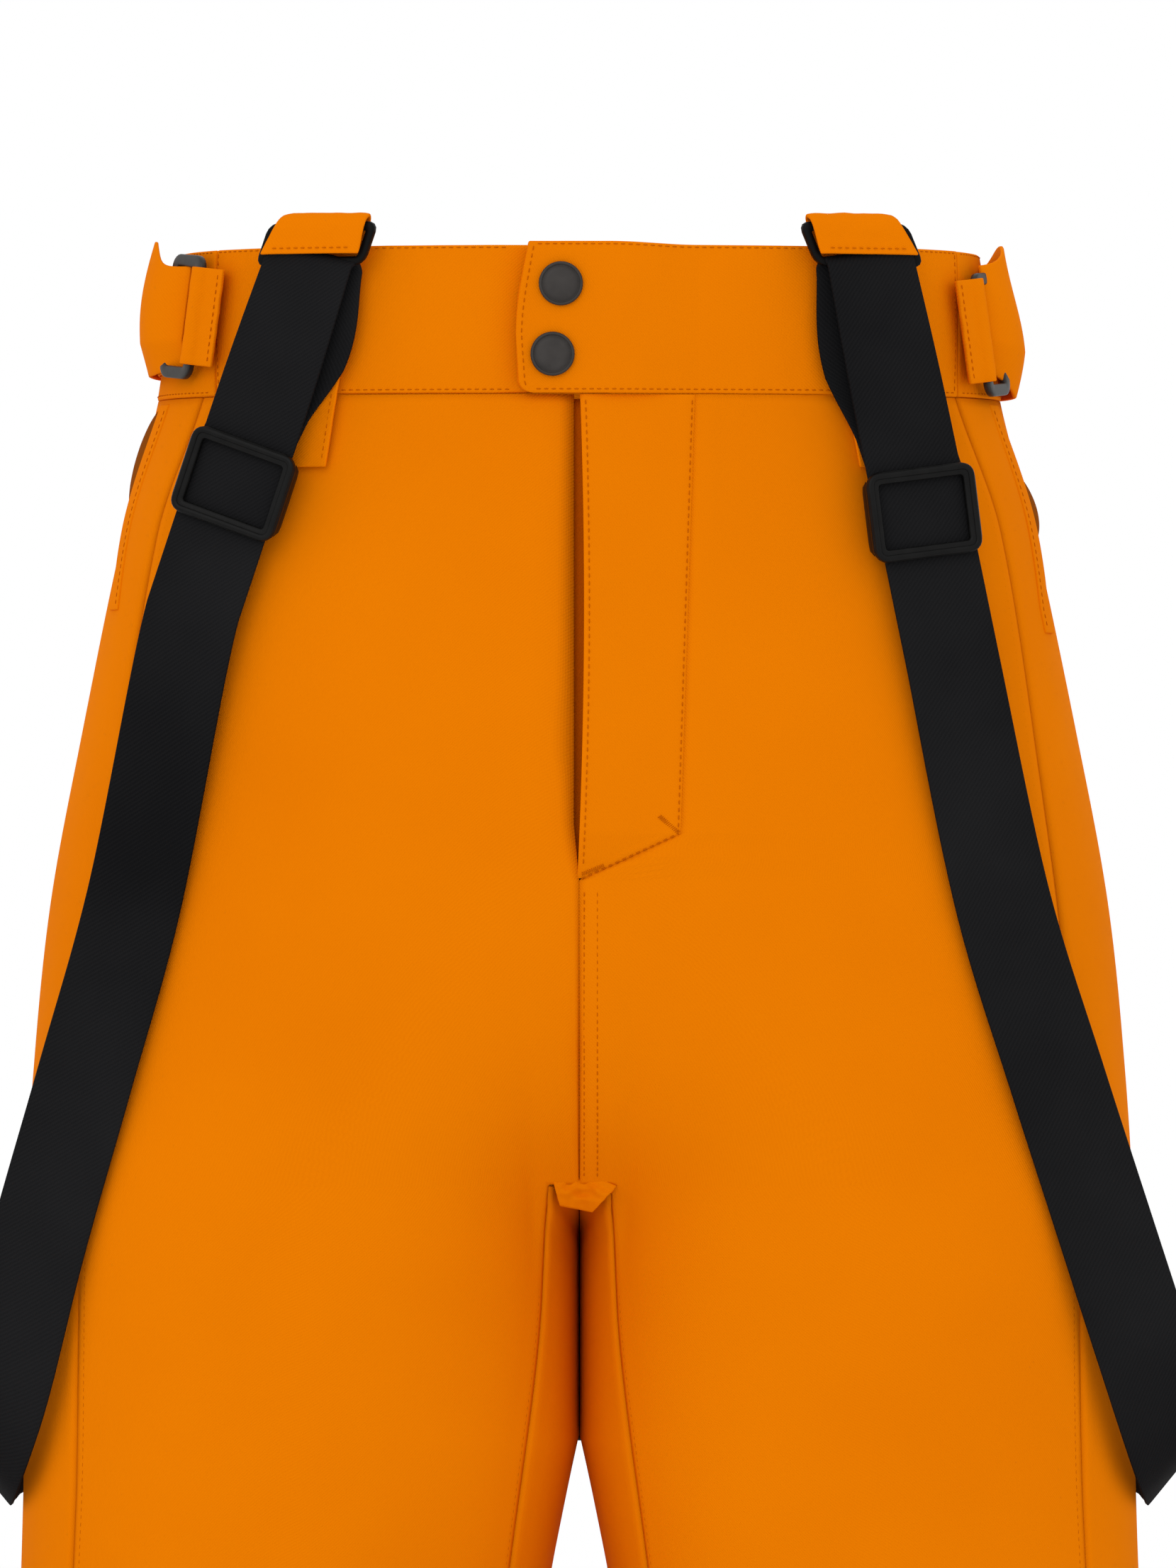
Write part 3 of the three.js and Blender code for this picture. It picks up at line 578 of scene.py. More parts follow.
SEAM_STEP = 4.5 / FORM_RADIUS
SEAM_ROWS = [
    (lambda z: side_seam_angle(z) + SEAM_STEP, -64, -1038, 900),
    (lambda z: -inside_seam_angle(z) + SEAM_STEP, -64, -352, 500),
    (lambda z: -inside_seam_angle(z) + 2.2 * SEAM_STEP, -64, -352, 500),
    (lambda z: inside_seam_angle(z) - SEAM_STEP * 0.8, -369, -628, 500),
    (lambda z: -inside_seam_angle(z) + SEAM_STEP * 0.8, -369, -628, 500),
]
for side in SIDES.values():
    for angle_of, top, bottom, steps in SEAM_ROWS:
        stitch_row(panel_stitches, cloth_path(side, angle_of), top, bottom, steps=steps)
for inset in (1.9, 7.0):
    def front_seam(z, inset=inset):
        surface = on_cloth(1, angle_at_x(inset, z), z).y
        return Vector((inset, min(surface, bridge_y(inset, z, True)) - 0.1, z)), Vector((0, -1, 0))
    stitch_row(panel_stitches, front_seam, -249, -360, steps=260)
panel_stitching = object_from(panel_stitches, "panel_stitching", thread)
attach(panel_stitching, "trousers")

# ---------------------------------------------------------------------------
# Waistband. A 58 mm band of doubled shell cloth, turned over a stiff interlining,
# in a left front with the snap overlap, a right front that runs on under it, and a back.
# ---------------------------------------------------------------------------
BAND_OUTSET = 1.0
BAND_THICKNESS = 4.0
BAND_SEAM_X = {"left": 146.0, "right": 140.0}
FLAP_PROUD = 5.3
FLAP_HINGE_X = 46.3
UNDERLAP_END_X = 12.0
FLAP_CORNER = 5.0
BAND_HEIGHTS = levels((-0.9, -6, 4), (-6, -50, 12), (-50, -58.0, 8))


def soften(piece, width, segments=2):
    bevel = piece.modifiers.new("rounded_edges", "BEVEL")
    bevel.width = width * MM
    bevel.segments = segments
    bevel.limit_method = "ANGLE"
    bevel.angle_limit = math.radians(55)
    return piece


def band_relief(along_mm, z):
    """The doubled band swells between its two stitch rows and puckers a little along them."""
    share = clamp((z + 58) / 58)
    swell = 0.7 * math.sin(math.pi * share) ** 0.6
    pucker = 0.25 * noise.noise(Vector((along_mm / 7, z / 18, 5.0))) * (1 - math.sin(math.pi * share) ** 2)
    return swell + pucker - 0.5


def band_seam_angle(name, z):
    return angle_at_x(BAND_SEAM_X[name], z)


def flap_edge_x(z):
    """The overlap's free edge, with a rounded lower corner."""
    share = clamp(-z / 58)
    edge = lerp(-19.0, -24.4, math.sin(math.pi / 2 * clamp(share * 1.5))) + 1.6 * clamp((share - 0.6) / 0.4)
    into_corner = clamp((-z - (58 - FLAP_CORNER)) / FLAP_CORNER)
    return edge + FLAP_CORNER * (1 - math.sqrt(max(0.0, 1 - into_corner ** 2)))


def left_band_point(u, z):
    if u < 0.55:
        angle = lerp(band_seam_angle("left", z), angle_at_x(FLAP_HINGE_X, z), u / 0.55)
        flat = body_point(1, angle, z)
        return body_point(1, angle, z, BAND_OUTSET + band_relief(flat.x, z))
    x = lerp(FLAP_HINGE_X, flap_edge_x(z), (u - 0.55) / 0.45)
    lifted = clamp((FLAP_HINGE_X - x) / (FLAP_HINGE_X - UNDERLAP_END_X))
    rise = lifted * lifted * (3 - 2 * lifted)
    curl = 1.2 * clamp((-14 - x) / 9) ** 2
    top = 1.4 * rise * clamp((z + 12) / 12)
    point = front_point(x, z, lerp(BAND_OUTSET, FLAP_PROUD, rise) + band_relief(x, z) + curl)
    return point + Vector((0, 0, top))


LEFT_BAND_CUT = (0.195, 0.058)
left_band = shaped_grid("waistband_front_left", 96, BAND_HEIGHTS, left_band_point, LEFT_BAND_CUT, shell_cloth)
soften(thicken(left_band, BAND_THICKNESS), 0.9)
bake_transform(left_band)
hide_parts("waistband_front_left", "waistband_overlap")


def right_band_point(u, z):
    angle = lerp(band_seam_angle("right", z), angle_at_x(-UNDERLAP_END_X, z), u)
    flat = body_point(-1, angle, z)
    under = 1.3 * clamp((flat.x + 34) / 14)
    return body_point(-1, angle, z, BAND_OUTSET + band_relief(flat.x, z) - under)


RIGHT_BAND_CUT = (0.185, 0.058)
right_band = shaped_grid("waistband_front_right", 84, BAND_HEIGHTS, right_band_point, RIGHT_BAND_CUT, shell_cloth)
soften(thicken(right_band, BAND_THICKNESS), 0.9)
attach(right_band, "trousers")
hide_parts("waistband_front_right")


def back_band_point(u, z):
    start = band_seam_angle("left", z) - 0.004
    end = -math.pi - band_seam_angle("right", z) + 0.004
    angle = lerp(start, end, u)
    flat = body_point(1, angle, z)
    behind = clamp((flat.y - 20) / 40)
    gather = 0.45 * behind * math.sin(flat.x / 3.1 + 1.5 * noise.noise(Vector((flat.x / 20, z / 30, 1.0))))
    return body_point(1, angle, z, BAND_OUTSET + band_relief(flat.x + flat.y, z) + gather)


BACK_BAND_CUT = (0.46, 0.058)
back_band = shaped_grid("waistband_back", 240, BAND_HEIGHTS, back_band_point, BACK_BAND_CUT, shell_cloth,
                        facing=lambda point: Vector((point.x, point.y, 0)))
soften(thicken(back_band, BAND_THICKNESS), 0.9)
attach(back_band, "trousers")
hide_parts("waistband_back")

band_stitches = bmesh.new()
flap_stitches = bmesh.new()


def row_on(place, z_of, lift=0.0):
    def path(u):
        z = z_of(u)
        point = place(u, z)
        beside, below = place(min(u + 0.004, 1.0) if u < 0.99 else u - 0.004, z) - point, place(u, z - 0.8) - point
        normal = beside.cross(below).normalized()
        if normal.dot(Vector((point.x * 0.25, point.y, 0))) < 0:
            normal = -normal
        return point + normal * lift, normal
    return path


for z in (-1.9, -56.4):
    stitch_row(band_stitches, row_on(right_band_point, lambda u, z=z: z), 0.01, 0.86)
    stitch_row(band_stitches, row_on(back_band_point, lambda u, z=z: z), 0.005, 0.995, steps=900)
    stitch_row(flap_stitches, row_on(left_band_point, lambda u, z=z: z), 0.01, 0.978)
for place, u, hold in ((left_band_point, 0.012, flap_stitches), (right_band_point, 0.012, band_stitches)):
    def seam_path(z, place=place, u=u):
        return row_on(place, lambda _: z)(u)
    stitch_row(hold, seam_path, -2, -56, steps=60)


def flap_edge_path(z):
    inset = 2.2 / (FLAP_HINGE_X - flap_edge_x(z)) * 0.45
    return row_on(left_band_point, lambda _: z)(1 - inset)


stitch_row(flap_stitches, flap_edge_path, -2.2, -56.0, steps=120)
band_stitching = object_from(band_stitches, "waistband_stitching", thread)
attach(band_stitching, "trousers")
flap_stitching = object_from(flap_stitches, "overlap_stitching", thread)
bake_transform(flap_stitching)

# ---------------------------------------------------------------------------
# Fly placket. A folded facing sewn down the J-shaped line; its left edge stands
# off the right front, so that the zip behind it stays covered but easy to reach.
# ---------------------------------------------------------------------------
PLACKET_TOP = -58.4
PLACKET_CUT = (0.046, 0.187)


def placket_edge_x(z):
    share = clamp((PLACKET_TOP - z) / (PLACKET_TOP - FLY_CURVE_END))
    return lerp(0.3, -0.8, share) + 2.1 * math.sin(math.pi * share) ** 0.8


def placket_point(u, z):
    outer = max(fly_stitch_x(z), placket_edge_x(z) + 1.0)
    x = lerp(outer, placket_edge_x(z), u)
    share = clamp((PLACKET_TOP - z) / (PLACKET_TOP - FLY_CURVE_END))
    free = math.sin(math.pi * clamp(share * 0.93 + 0.05)) ** 0.6
    across = clamp((outer - x) / 42)
    lift = across ** 1.6 * (2.2 + 3.8 * free) + 0.15
    fold = -0.9 * math.exp(-((x - placket_edge_x(z)) / 1.0) ** 2) + seam_roll(outer - x)
    flat = front_point(x, z)
    return front_point(x, z, lift + fold + relief(flat) * (1 - across))


placket_heights = levels((PLACKET_TOP, FLY_STRAIGHT_END, 56), (FLY_STRAIGHT_END, FLY_CURVE_END + 0.8, 12))
placket = shaped_grid("fly_placket", 30, placket_heights, placket_point, PLACKET_CUT, shell_cloth)
soften(thicken(placket, 1.9, inner=lining_cloth), 0.5)
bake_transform(placket)
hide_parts("fly_placket")

# A facing strip behind the placket's free edge, in a darker orange than the shell cloth: the darker colour is
# painted shade of the gap under the placket.
ZIP_FACING_CUT = (0.017, 0.18)
painted_shade_facing_cloth = woven("painted_shade_facing_cloth", (0.60, 0.105, 0.0005, 1), (0.50, 0.085, 0.0005, 1), 0.0009, 0.0001, 0.9)
zip_facing = shaped_grid("zip_facing_right", 6, levels((-60, -240, 40)),
                         lambda u, z: Vector((lerp(-6, 11, u), -100.95, z)), ZIP_FACING_CUT, painted_shade_facing_cloth)
thicken(zip_facing, 0.5)
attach(zip_facing, "trousers")

placket_stitches = bmesh.new()


def placket_row(inset, from_outer):
    def path(z):
        outer = max(fly_stitch_x(z), placket_edge_x(z) + 1.0)
        width = outer - placket_edge_x(z)
        u = clamp(inset / width if from_outer else 1 - inset / width)
        return row_on(placket_point, lambda _: z, 0.1)(u)
    return path


stitch_row(placket_stitches, placket_row(2.0, from_outer=False), -60, -238, steps=260)
stitch_row(placket_stitches, placket_row(1.0, from_outer=True), -60, -244, steps=320)


def tack_path(start, end):
    """A straight line across the placket between two (x, z) spots, t from 0 to 1."""
    def path(t):
        x, z = lerp(start[0], end[0], t), lerp(start[1], end[1], t)
        outer, edge = max(fly_stitch_x(z), placket_edge_x(z) + 1.0), placket_edge_x(z)
        return placket_point((outer - x) / (outer - edge), z), Vector((0, -1, 0))
    return path


bartack(placket_stitches, tack_path((31, -220.5), (38, -226.6)), 0, 1, width=2.2)
bartack(placket_stitches, tack_path((1.2, -242.6), (9.2, -239.4)), 0, 1, width=2.0)
placket_stitching = object_from(placket_stitches, "placket_stitching", thread)
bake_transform(placket_stitching)

# ---------------------------------------------------------------------------
# Snap caps. Dark coated metal, a shallow dished face inside a thin rolled rim,
# pressed through the overlap; the socket behind each grips a stud on the underlap.
# ---------------------------------------------------------------------------
SNAPS = {"upper": (-7.0, -16.0), "lower": (-10.2, -43.0)}


def hard_material(name, light, dark, roughness, metallic=0.0, grain=900, bump_height=0.00004, shine=0.5):
    """Moulded or coated hardware: a faint mottle, rubbed spots a little smoother, a fine pebbled skin."""
    made, nodes, links, shader = new_material(name)
    place = nodes.new("ShaderNodeTexCoord")
    mottle = nodes.new("ShaderNodeTexNoise")
    mottle.inputs["Scale"].default_value = 160
    mottle.inputs["Detail"].default_value = 5
    pebble = nodes.new("ShaderNodeTexNoise")
    pebble.inputs["Scale"].default_value = grain
    pebble.inputs["Detail"].default_value = 2
    for texture in (mottle, pebble):
        links.new(place.outputs["Object"], texture.inputs["Vector"])
    ramp = nodes.new("ShaderNodeValToRGB")
    ramp.color_ramp.elements[0].position = 0.3
    ramp.color_ramp.elements[0].color = dark
    ramp.color_ramp.elements[1].position = 0.7
    ramp.color_ramp.elements[1].color = light
    links.new(mottle.outputs["Fac"], ramp.inputs["Fac"])
    links.new(ramp.outputs["Color"], shader.inputs["Base Color"])
    rub = nodes.new("ShaderNodeMapRange")
    rub.inputs["To Min"].default_value = roughness - 0.08
    rub.inputs["To Max"].default_value = roughness + 0.1
    links.new(mottle.outputs["Fac"], rub.inputs["Value"])
    links.new(rub.outputs["Result"], shader.inputs["Roughness"])
    bump = nodes.new("ShaderNodeBump")
    bump.inputs["Strength"].default_value = 0.5
    bump.inputs["Distance"].default_value = bump_height
    links.new(pebble.outputs["Fac"], bump.inputs["Height"])
    links.new(bump.outputs["Normal"], shader.inputs["Normal"])
    shader.inputs["Metallic"].default_value = metallic
    shader.inputs["Specular IOR Level"].default_value = shine
    return made


snap_metal = hard_material("snap_metal", (0.044, 0.039, 0.036, 1), (0.030, 0.026, 0.024, 1), 0.5, 0.35, shine=0.3)
zip_brass = hard_material("zip_brass", (0.62, 0.42, 0.16, 1), (0.42, 0.27, 0.09, 1), 0.38, 0.9)
CAP_OUTLINE = [
    (0.0, 1.75), (2.4, 1.72), (5.0, 1.6), (6.6, 1.45), (6.95, 1.15), (7.2, 1.25), (7.45, 1.95), (7.75, 2.1),
    (8.15, 1.98), (8.45, 1.55), (8.5, 0.9), (8.35, 0.25), (8.0, -0.1), (4.0, -0.3), (0.0, -0.3),
]
for place_name, (x, z) in SNAPS.items():
    bm = bmesh.new()
    previous = None
    for radius, height in CAP_OUTLINE:
        vertex = bm.verts.new((radius * MM, -height * MM, 0))
        if previous:
            bm.edges.new((previous, vertex))
        previous = vertex
    bmesh.ops.spin(bm, geom=bm.verts[:] + bm.edges[:], cent=(0, 0, 0), axis=(0, 1, 0),
                   angle=2 * math.pi, steps=64, use_duplicate=False)
    bmesh.ops.remove_doubles(bm, verts=bm.verts, dist=0.00002)
    bmesh.ops.recalc_face_normals(bm, faces=bm.faces)
    seat = left_band_point(0.55 + 0.45 * (FLAP_HINGE_X - x) / (FLAP_HINGE_X - flap_edge_x(z)), z)
    bmesh.ops.translate(bm, verts=bm.verts, vec=seat * MM)
    cap = object_from(bm, f"snap_cap_{place_name}", snap_metal)
    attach(cap, "fly_flap")
    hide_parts(f"snap_cap_{place_name}")

# ---------------------------------------------------------------------------
# Hem bands. A band of shell cloth folded up round each leg end and sewn down with
# two rows of stitches, 5 mm apart, just under its upper edge.
# ---------------------------------------------------------------------------
HEM_CUT = (0.62, 0.035)
HEM_TOP = -1044.6
HEM_ROWS = (-1047.5, -1052.5)
hem_stitches = bmesh.new()
for word, side in SIDES.items():
    def hem_place(u, z, side=side):
        angle = lerp(-math.pi + 0.002, math.pi - 0.002, u)
        roll = -0.8 * math.exp(-((z - HEM_HEIGHT) / 2.0) ** 2)
        return on_cloth(side, angle, z, 0.8 + roll)

    hem_band = shaped_grid(f"hem_band_{word}", 200, levels((HEM_TOP, HEM_HEIGHT + 0.1, 16)), hem_place, HEM_CUT,
                           shell_cloth, away_from_leg(side))
    soften(thicken(hem_band, 2.6, inner=lining_cloth), 0.5)
    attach(hem_band, "trousers")
    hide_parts(f"hem_band_{word}")
    for z in HEM_ROWS:
        def hem_row(angle, side=side, z=z):
            point = on_cloth(side, angle, z, 0.9)
            _, centre, _, _, centre_y = section_at(z)
            return point, Vector((point.x - side * centre, point.y - centre_y, 0)).normalized()
        stitch_row(hem_stitches, hem_row, -math.pi + 0.01, math.pi - 0.01, steps=700)
hem_stitching = object_from(hem_stitches, "hem_stitching", thread)
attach(hem_stitching, "trousers")

# ---------------------------------------------------------------------------
# Hand pockets. A slanted mouth each side behind the side-front seam; its lip of
# doubled cloth gapes at the top and shows the brown lining of the bag inside.
# ---------------------------------------------------------------------------
POCKET_LIP_CUT = (0.008, 0.082)
POCKET_INSIDE_CUT = (0.03, 0.04)
POCKET_TOP = -60
POCKET_END = -140
pocket_shade = woven("pocket_facing", (0.30, 0.075, 0.003, 1), (0.20, 0.048, 0.003, 1), 0.0009, 0.0001, 0.9)
pocket_stitches = bmesh.new()


def mouth_inset(z):
    """How far the mouth's line lies in from the outermost edge; it bows outward halfway down."""
    return lerp(4.6, 2.2, math.sin(math.pi * clamp((POCKET_TOP - z) / 80)))


for word, side in SIDES.items():
    drop = 0.0 if side < 0 else -9.0

    def lip_place(u, z, side=side, drop=drop):
        z = z + drop * clamp((-62 - z) / 20)
        outer = section_at(z)[0]
        angle = angle_at_x(outer - mouth_inset(z), z)
        share = clamp((POCKET_TOP - z + drop) / 78)
        gape = math.sin(math.pi * clamp(share * 1.25)) ** 0.8 if share < 0.8 else 0.0
        lift = 0.5 + u * (0.7 + 0.8 * gape)
        return body_point(side, angle + 0.035 - u * 0.085, z, lift)

    lip = shaped_grid(f"pocket_lip_{word}", 8, levels((POCKET_TOP, POCKET_END, 48)), lip_place, POCKET_LIP_CUT,
                      shell_cloth, away_from_leg(side))
    soften(thicken(lip, 1.5, inner=lining_cloth), 0.5)
    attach(lip, "trousers")

    open_top, open_end = (-87, -113) if side > 0 else (-61, -101)

    def inside_place(u, z, side=side, open_top=open_top, open_end=open_end):
        outer = section_at(z)[0]
        angle = angle_at_x(outer - mouth_inset(z), z)
        gape = math.sin(math.pi * clamp((z - open_top) / (open_end - open_top)))
        back = lerp(angle - 0.02, -0.14, gape ** 0.8)
        return body_point(side, lerp(angle - 0.02, back, u), z, 0.6 + 2.7 * gape * math.sin(math.pi * u) ** 0.6)

    mouth = shaped_grid(f"pocket_inside_{word}", 12, levels((open_top, open_end, 30)), inside_place,
                        POCKET_INSIDE_CUT, pocket_shade, away_from_leg(side))
    thicken(mouth, 0.6)
    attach(mouth, "trousers")

    def lip_row(z, side=side, lip_place=lip_place):
        point = lip_place(0.22, z)
        _, _, _, _, centre_y = section_at(z)
        return point, Vector((point.x, point.y - centre_y, 0)).normalized()

    stitch_row(pocket_stitches, lip_row, POCKET_TOP - 2, POCKET_END + 2, steps=160)
pocket_stitching = object_from(pocket_stitches, "pocket_stitching", thread)
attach(pocket_stitching, "trousers")

# ---------------------------------------------------------------------------
# Brace hangers. A tab of shell cloth is sewn inside the band, comes over the top
# and round a black moulded ring; three of them carry the braces, two slanting outward.
# ---------------------------------------------------------------------------
RING_BAR_DROP = 13.0
SLIDER_BAR_DROP = 18.5
TAB_HALF_WIDTH = 17.6
TAB_FOLD_ROW = -8.2
TAB_SIDE_ROW = 15.2
RING_HALF_WIDTH = 22.0
BRACES = {
    "left": {"side": 1, "bar": (105.8, -98.0, 6.0), "turn": 18, "skew": 0.43, "slant": 8, "lean": 4.3, "drop": 93,
             "reach": 92},
    "right": {"side": -1, "bar": (-98.5, -101.9, 6.0), "turn": 18, "skew": 0.36, "slant": 13.5, "lean": 5.9,
              "drop": 84.5, "reach": 92},
    "rear": {"side": 1, "bar": (0, 115.5, 3.9), "turn": 180, "skew": 0, "slant": 0, "lean": 0, "drop": 0,
             "reach": 62},
}


def hanger_frame(brace):
    """The tab and its ring, pulled askew by the strap: local X stays level while lower rows shift outward."""
    turn = Matrix.Rotation(math.radians(brace["turn"] * brace["side"]), 4, "Z")
    skew = Matrix.Identity(4)
    skew[0][2] = -brace["skew"] * brace["side"]
    return Matrix.Translation(Vector(brace["bar"])) @ turn @ skew


def strap_frame(brace):
    """Where the strap leaves the ring's lower bar, turned the way the strap runs."""
    turn = Matrix.Rotation(math.radians(brace["turn"] * brace["side"]), 4, "Z")
    slant = Matrix.Rotation(math.radians(-brace["slant"] * brace["side"]), 4, "Y")
    start = hanger_frame(brace) @ Vector((0, 0, -RING_BAR_DROP))
    return Matrix.Translation(start) @ turn @ slant


def curve_through(points, steps_of):
    """A smooth curve through every point; steps_of(gap) says how many steps each gap takes."""
    ends = [points[0] * 2 - points[1]] + points + [points[-1] * 2 - points[-2]]
    found = []
    for a, b, c, d in zip(ends, ends[1:], ends[2:], ends[3:]):
        before, here, after = (max((q - p).length, 1e-6) ** 0.5 for p, q in ((a, b), (b, c), (c, d)))
        leave = ((b - a) / before - (c - a) / (before + here) + (c - b) / here) * here
        arrive = ((c - b) / here - (d - b) / (here + after) + (d - c) / after) * here
        steps = steps_of((c - b).length)
        for k in range(steps):
            s = k / steps
            found.append(b * (2 * s ** 3 - 3 * s ** 2 + 1) + leave * (s ** 3 - 2 * s ** 2 + s)
                         + c * (3 * s ** 2 - 2 * s ** 3) + arrive * (s ** 3 - s ** 2))
    return found + [points[-1]]


def run_length(points):
    lengths = [0.0]
    for a, b in zip(points, points[1:]):
        lengths.append(lengths[-1] + (b - a).length)
    return lengths


def strip_along(name, middles, acrosses, half_width, columns, material, surface=None):
    """A strip whose half width is half_width(t): a row of points at every middle, its UV map in metres."""
    bm = bmesh.new()
    cut = bm.loops.layers.uv.new("cut")
    last = len(middles) - 1
    lengths = run_length(middles)
    bmesh.ops.create_grid(bm, x_segments=columns, y_segments=last, size=1)
    shares = {v: (v.co.x, round((v.co.y + 1) / 2 * last)) for v in bm.verts}
    for face in bm.faces:
        for loop in face.loops:
            share, row = shares[loop.vert]
            loop[cut].uv = (share * half_width(0.5) * MM, lengths[row] * MM)
    for v, (share, row) in shares.items():
        ahead = middles[min(row + 1, last)] - middles[max(row - 1, 0)]
        across = acrosses[row].normalized()
        through = across.cross(ahead).normalized()
        wide = half_width(row / last)
        lift = surface(share, row / last) if surface else 0.0
        v.co = (middles[row] + across * (share * wide) + through * lift) * MM
    bm.normal_update()
    return object_from(bm, name, material)


TAB_ROUTE = [
    (-5.9, -10.4), (-5.6, -8.6), (-5.2, -5.0), (-4.9, 0.0), (-3.6, 3.2), (0.0, 4.7), (3.6, 3.3), (5.3, 0.0),
    (5.7, -6.0), (5.7, -14.0), (5.5, -30.0),
]
tab_stitches = bmesh.new()


def tab_drift(skew, z):
    """Below the ring the tab straightens back towards where it is sewn to the band."""
    return skew * 0.55 * min(z + 14, 0)


def rounded_rectangle(t, half_x, half_z, radius):
    """A point on a rounded rectangle and the direction outward from it, t from 0 to 1 round it."""
    straights = [2 * (half_z - radius), 2 * (half_x - radius)] * 2
    corner = math.pi * radius / 2
    centres = [(half_x - radius, half_z - radius), (radius - half_x, half_z - radius),
               (radius - half_x, radius - half_z), (half_x - radius, radius - half_z)]
    travel = (t % 1.0) * (sum(straights) + 4 * corner)
    for k in range(4):
        heading = k * math.pi / 2
        if travel <= straights[k]:
            outward = Vector((math.cos(heading), math.sin(heading)))
            forward = Vector((-outward.y, outward.x))
            return Vector(centres[k]) + outward * radius + forward * (travel - straights[k]), outward
        travel -= straights[k]
        if travel <= corner:
            outward = Vector((math.cos(heading + travel / radius), math.sin(heading + travel / radius)))
            return Vector(centres[k]) + outward * radius, outward
        travel -= corner
    return rounded_rectangle(0.0, half_x, half_z, radius)


def add_frame(bm, place, half_x, half_z, radius, bar, depth, y=0.0, around=96, squareness=0.55):
    """A closed rounded frame of bar width and depth lying in the local XZ plane of the matrix place."""
    new = bmesh.ops.create_grid(bm, x_segments=around, y_segments=16, size=1)["verts"]
    for v in new:
        t, a = (v.co.x + 1) / 2, (v.co.y + 1) * math.pi
        point, outward = rounded_rectangle(t, half_x - bar / 2, half_z - bar / 2, radius)
        out = signed_power(math.cos(a), squareness) * bar / 2
        deep = signed_power(math.sin(a), squareness) * depth / 2
        v.co = (place @ Vector((point.x + outward.x * out, y + deep, point.y + outward.y * out))) * MM
    bmesh.ops.remove_doubles(bm, verts=new, dist=1e-6)


def add_bar(bm, place, start, end, wide, deep, squareness=0.55):
    """A straight rounded bar between two local points, wide across and deep along local Y, with domed ends."""
    new = bmesh.ops.create_grid(bm, x_segments=14, y_segments=16, size=1)["verts"]
    along_bar = Vector(end) - Vector(start)
    across = Vector((0, 1, 0)).cross(along_bar).normalized()
    for v in new:
        t, a = (v.co.x + 1) / 2, (v.co.y + 1) * math.pi
        dome = min(1.0, (1 - abs(2 * t - 1) ** 8)) ** 0.5 if 0 < t < 1 else 0.0
        out = signed_power(math.cos(a), squareness) * wide / 2 * dome
        through = signed_power(math.sin(a), squareness) * deep / 2 * dome
        v.co = (place @ (Vector(start) + along_bar * t + across * out + Vector((0, through, 0)))) * MM
    bmesh.ops.remove_doubles(bm, verts=new, dist=1e-6)


black_plastic = hard_material("black_plastic", (0.0026, 0.0025, 0.0024, 1), (0.0015, 0.0014, 0.0014, 1), 0.5,
                              shine=0.1)
for name, brace in BRACES.items():
    hanger = hanger_frame(brace)
    route = [Vector((y, z)) for y, z in TAB_ROUTE] + [Vector((5.2, -brace["reach"]))]
    local = curve_through(route, lambda gap: max(2, int(gap / 1.2)))
    skew = brace["skew"] * brace["side"]
    middles = [hanger @ Vector((tab_drift(skew, p.y), p.x, p.y)) for p in local]
    width_way = hanger.to_3x3() @ Vector((1, 0, 0))

    def tab_half_width(t):
        return TAB_HALF_WIDTH + 2.2 * math.exp(-(t * len(middles) / 9) ** 2) - 0.4 * clamp(t * 6)

    def tab_surface(share, t, seed=brace["bar"][0]):
        crumple = 0.35 * noise.noise(Vector((share * 3 + seed, t * 30, 2.0)))
        return crumple - 0.5 * share ** 8

    tab = strip_along(f"suspender_tab_{name}", middles, [width_way] * len(middles), tab_half_width, 18,
                      shell_cloth, tab_surface)
    soften(thicken(tab, 1.5, offset=0.0), 0.5)
    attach(tab, "trousers")
    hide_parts(f"suspender_tab_{name}")
    front_way = hanger.to_3x3() @ Vector((0, -1, 0))

    def tab_row(x):
        return hanger @ Vector((x, -6.6, TAB_FOLD_ROW)), front_way

    stitch_row(tab_stitches, tab_row, -16, 16, steps=40)
    for direction in (-1, 1):
        def tab_side(z, direction=direction):
            return hanger @ Vector((direction * TAB_SIDE_ROW + tab_drift(skew, z), 4.4, z)), front_way
        stitch_row(tab_stitches, tab_side, -12, 2 - brace["reach"], steps=90)

    ring_mesh = bmesh.new()
    ring_place = hanger @ Matrix.Translation((0, 0, -RING_BAR_DROP / 2))
    add_frame(ring_mesh, ring_place, RING_HALF_WIDTH, RING_BAR_DROP / 2 + 2, 2.4, 3.6, 4.0)
    bmesh.ops.recalc_face_normals(ring_mesh, faces=ring_mesh.faces)
    ring = object_from(ring_mesh, f"suspender_ring_{name}", black_plastic)
    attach(ring, f"brace_{name}")
    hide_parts(f"suspender_ring_{name}")
tab_stitching = object_from(tab_stitches, "tab_stitching", thread)
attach(tab_stitching, "trousers")

# ---------------------------------------------------------------------------
# Braces. Black 38 mm twill webbing turns round each ring, passes its slider, runs
# down outside the thigh and round behind it to a patch where all three straps meet.
# ---------------------------------------------------------------------------
WEBBING_HALF = 19.0
WEBBING = 1.8
LOOP_RADIUS = 3.2
REAR_PITCH = -5.5
LAYERS_PART = 2.6
LAYER_BOW = 4.6
LAYER_TUCK = 3.2
STRAIGHT_RUN = {"left": 150.0, "right": 136.0, "rear": 152.0}
WEB_LIGHT = (0.0150, 0.0150, 0.0158, 1)
WEB_DARK = (0.0070, 0.0070, 0.0076, 1)
webbing = woven("webbing", WEB_LIGHT, WEB_DARK, 0.0014, 0.00016, 0.75, sheen=0.03)
webbing_on_cad = woven("webbing_ends", WEB_LIGHT, WEB_DARK, 0.0014, 0.00016, 0.75, "Object")
THIGH_STATIONS = {
    "left": [(164, -256, 0.22), (184.5, -322, 0.20), (206, -388, 0.17)],
    "right": [(172.5, -256, 0.22), (191, -322, 0.20), (210, -388, 0.17)],
}
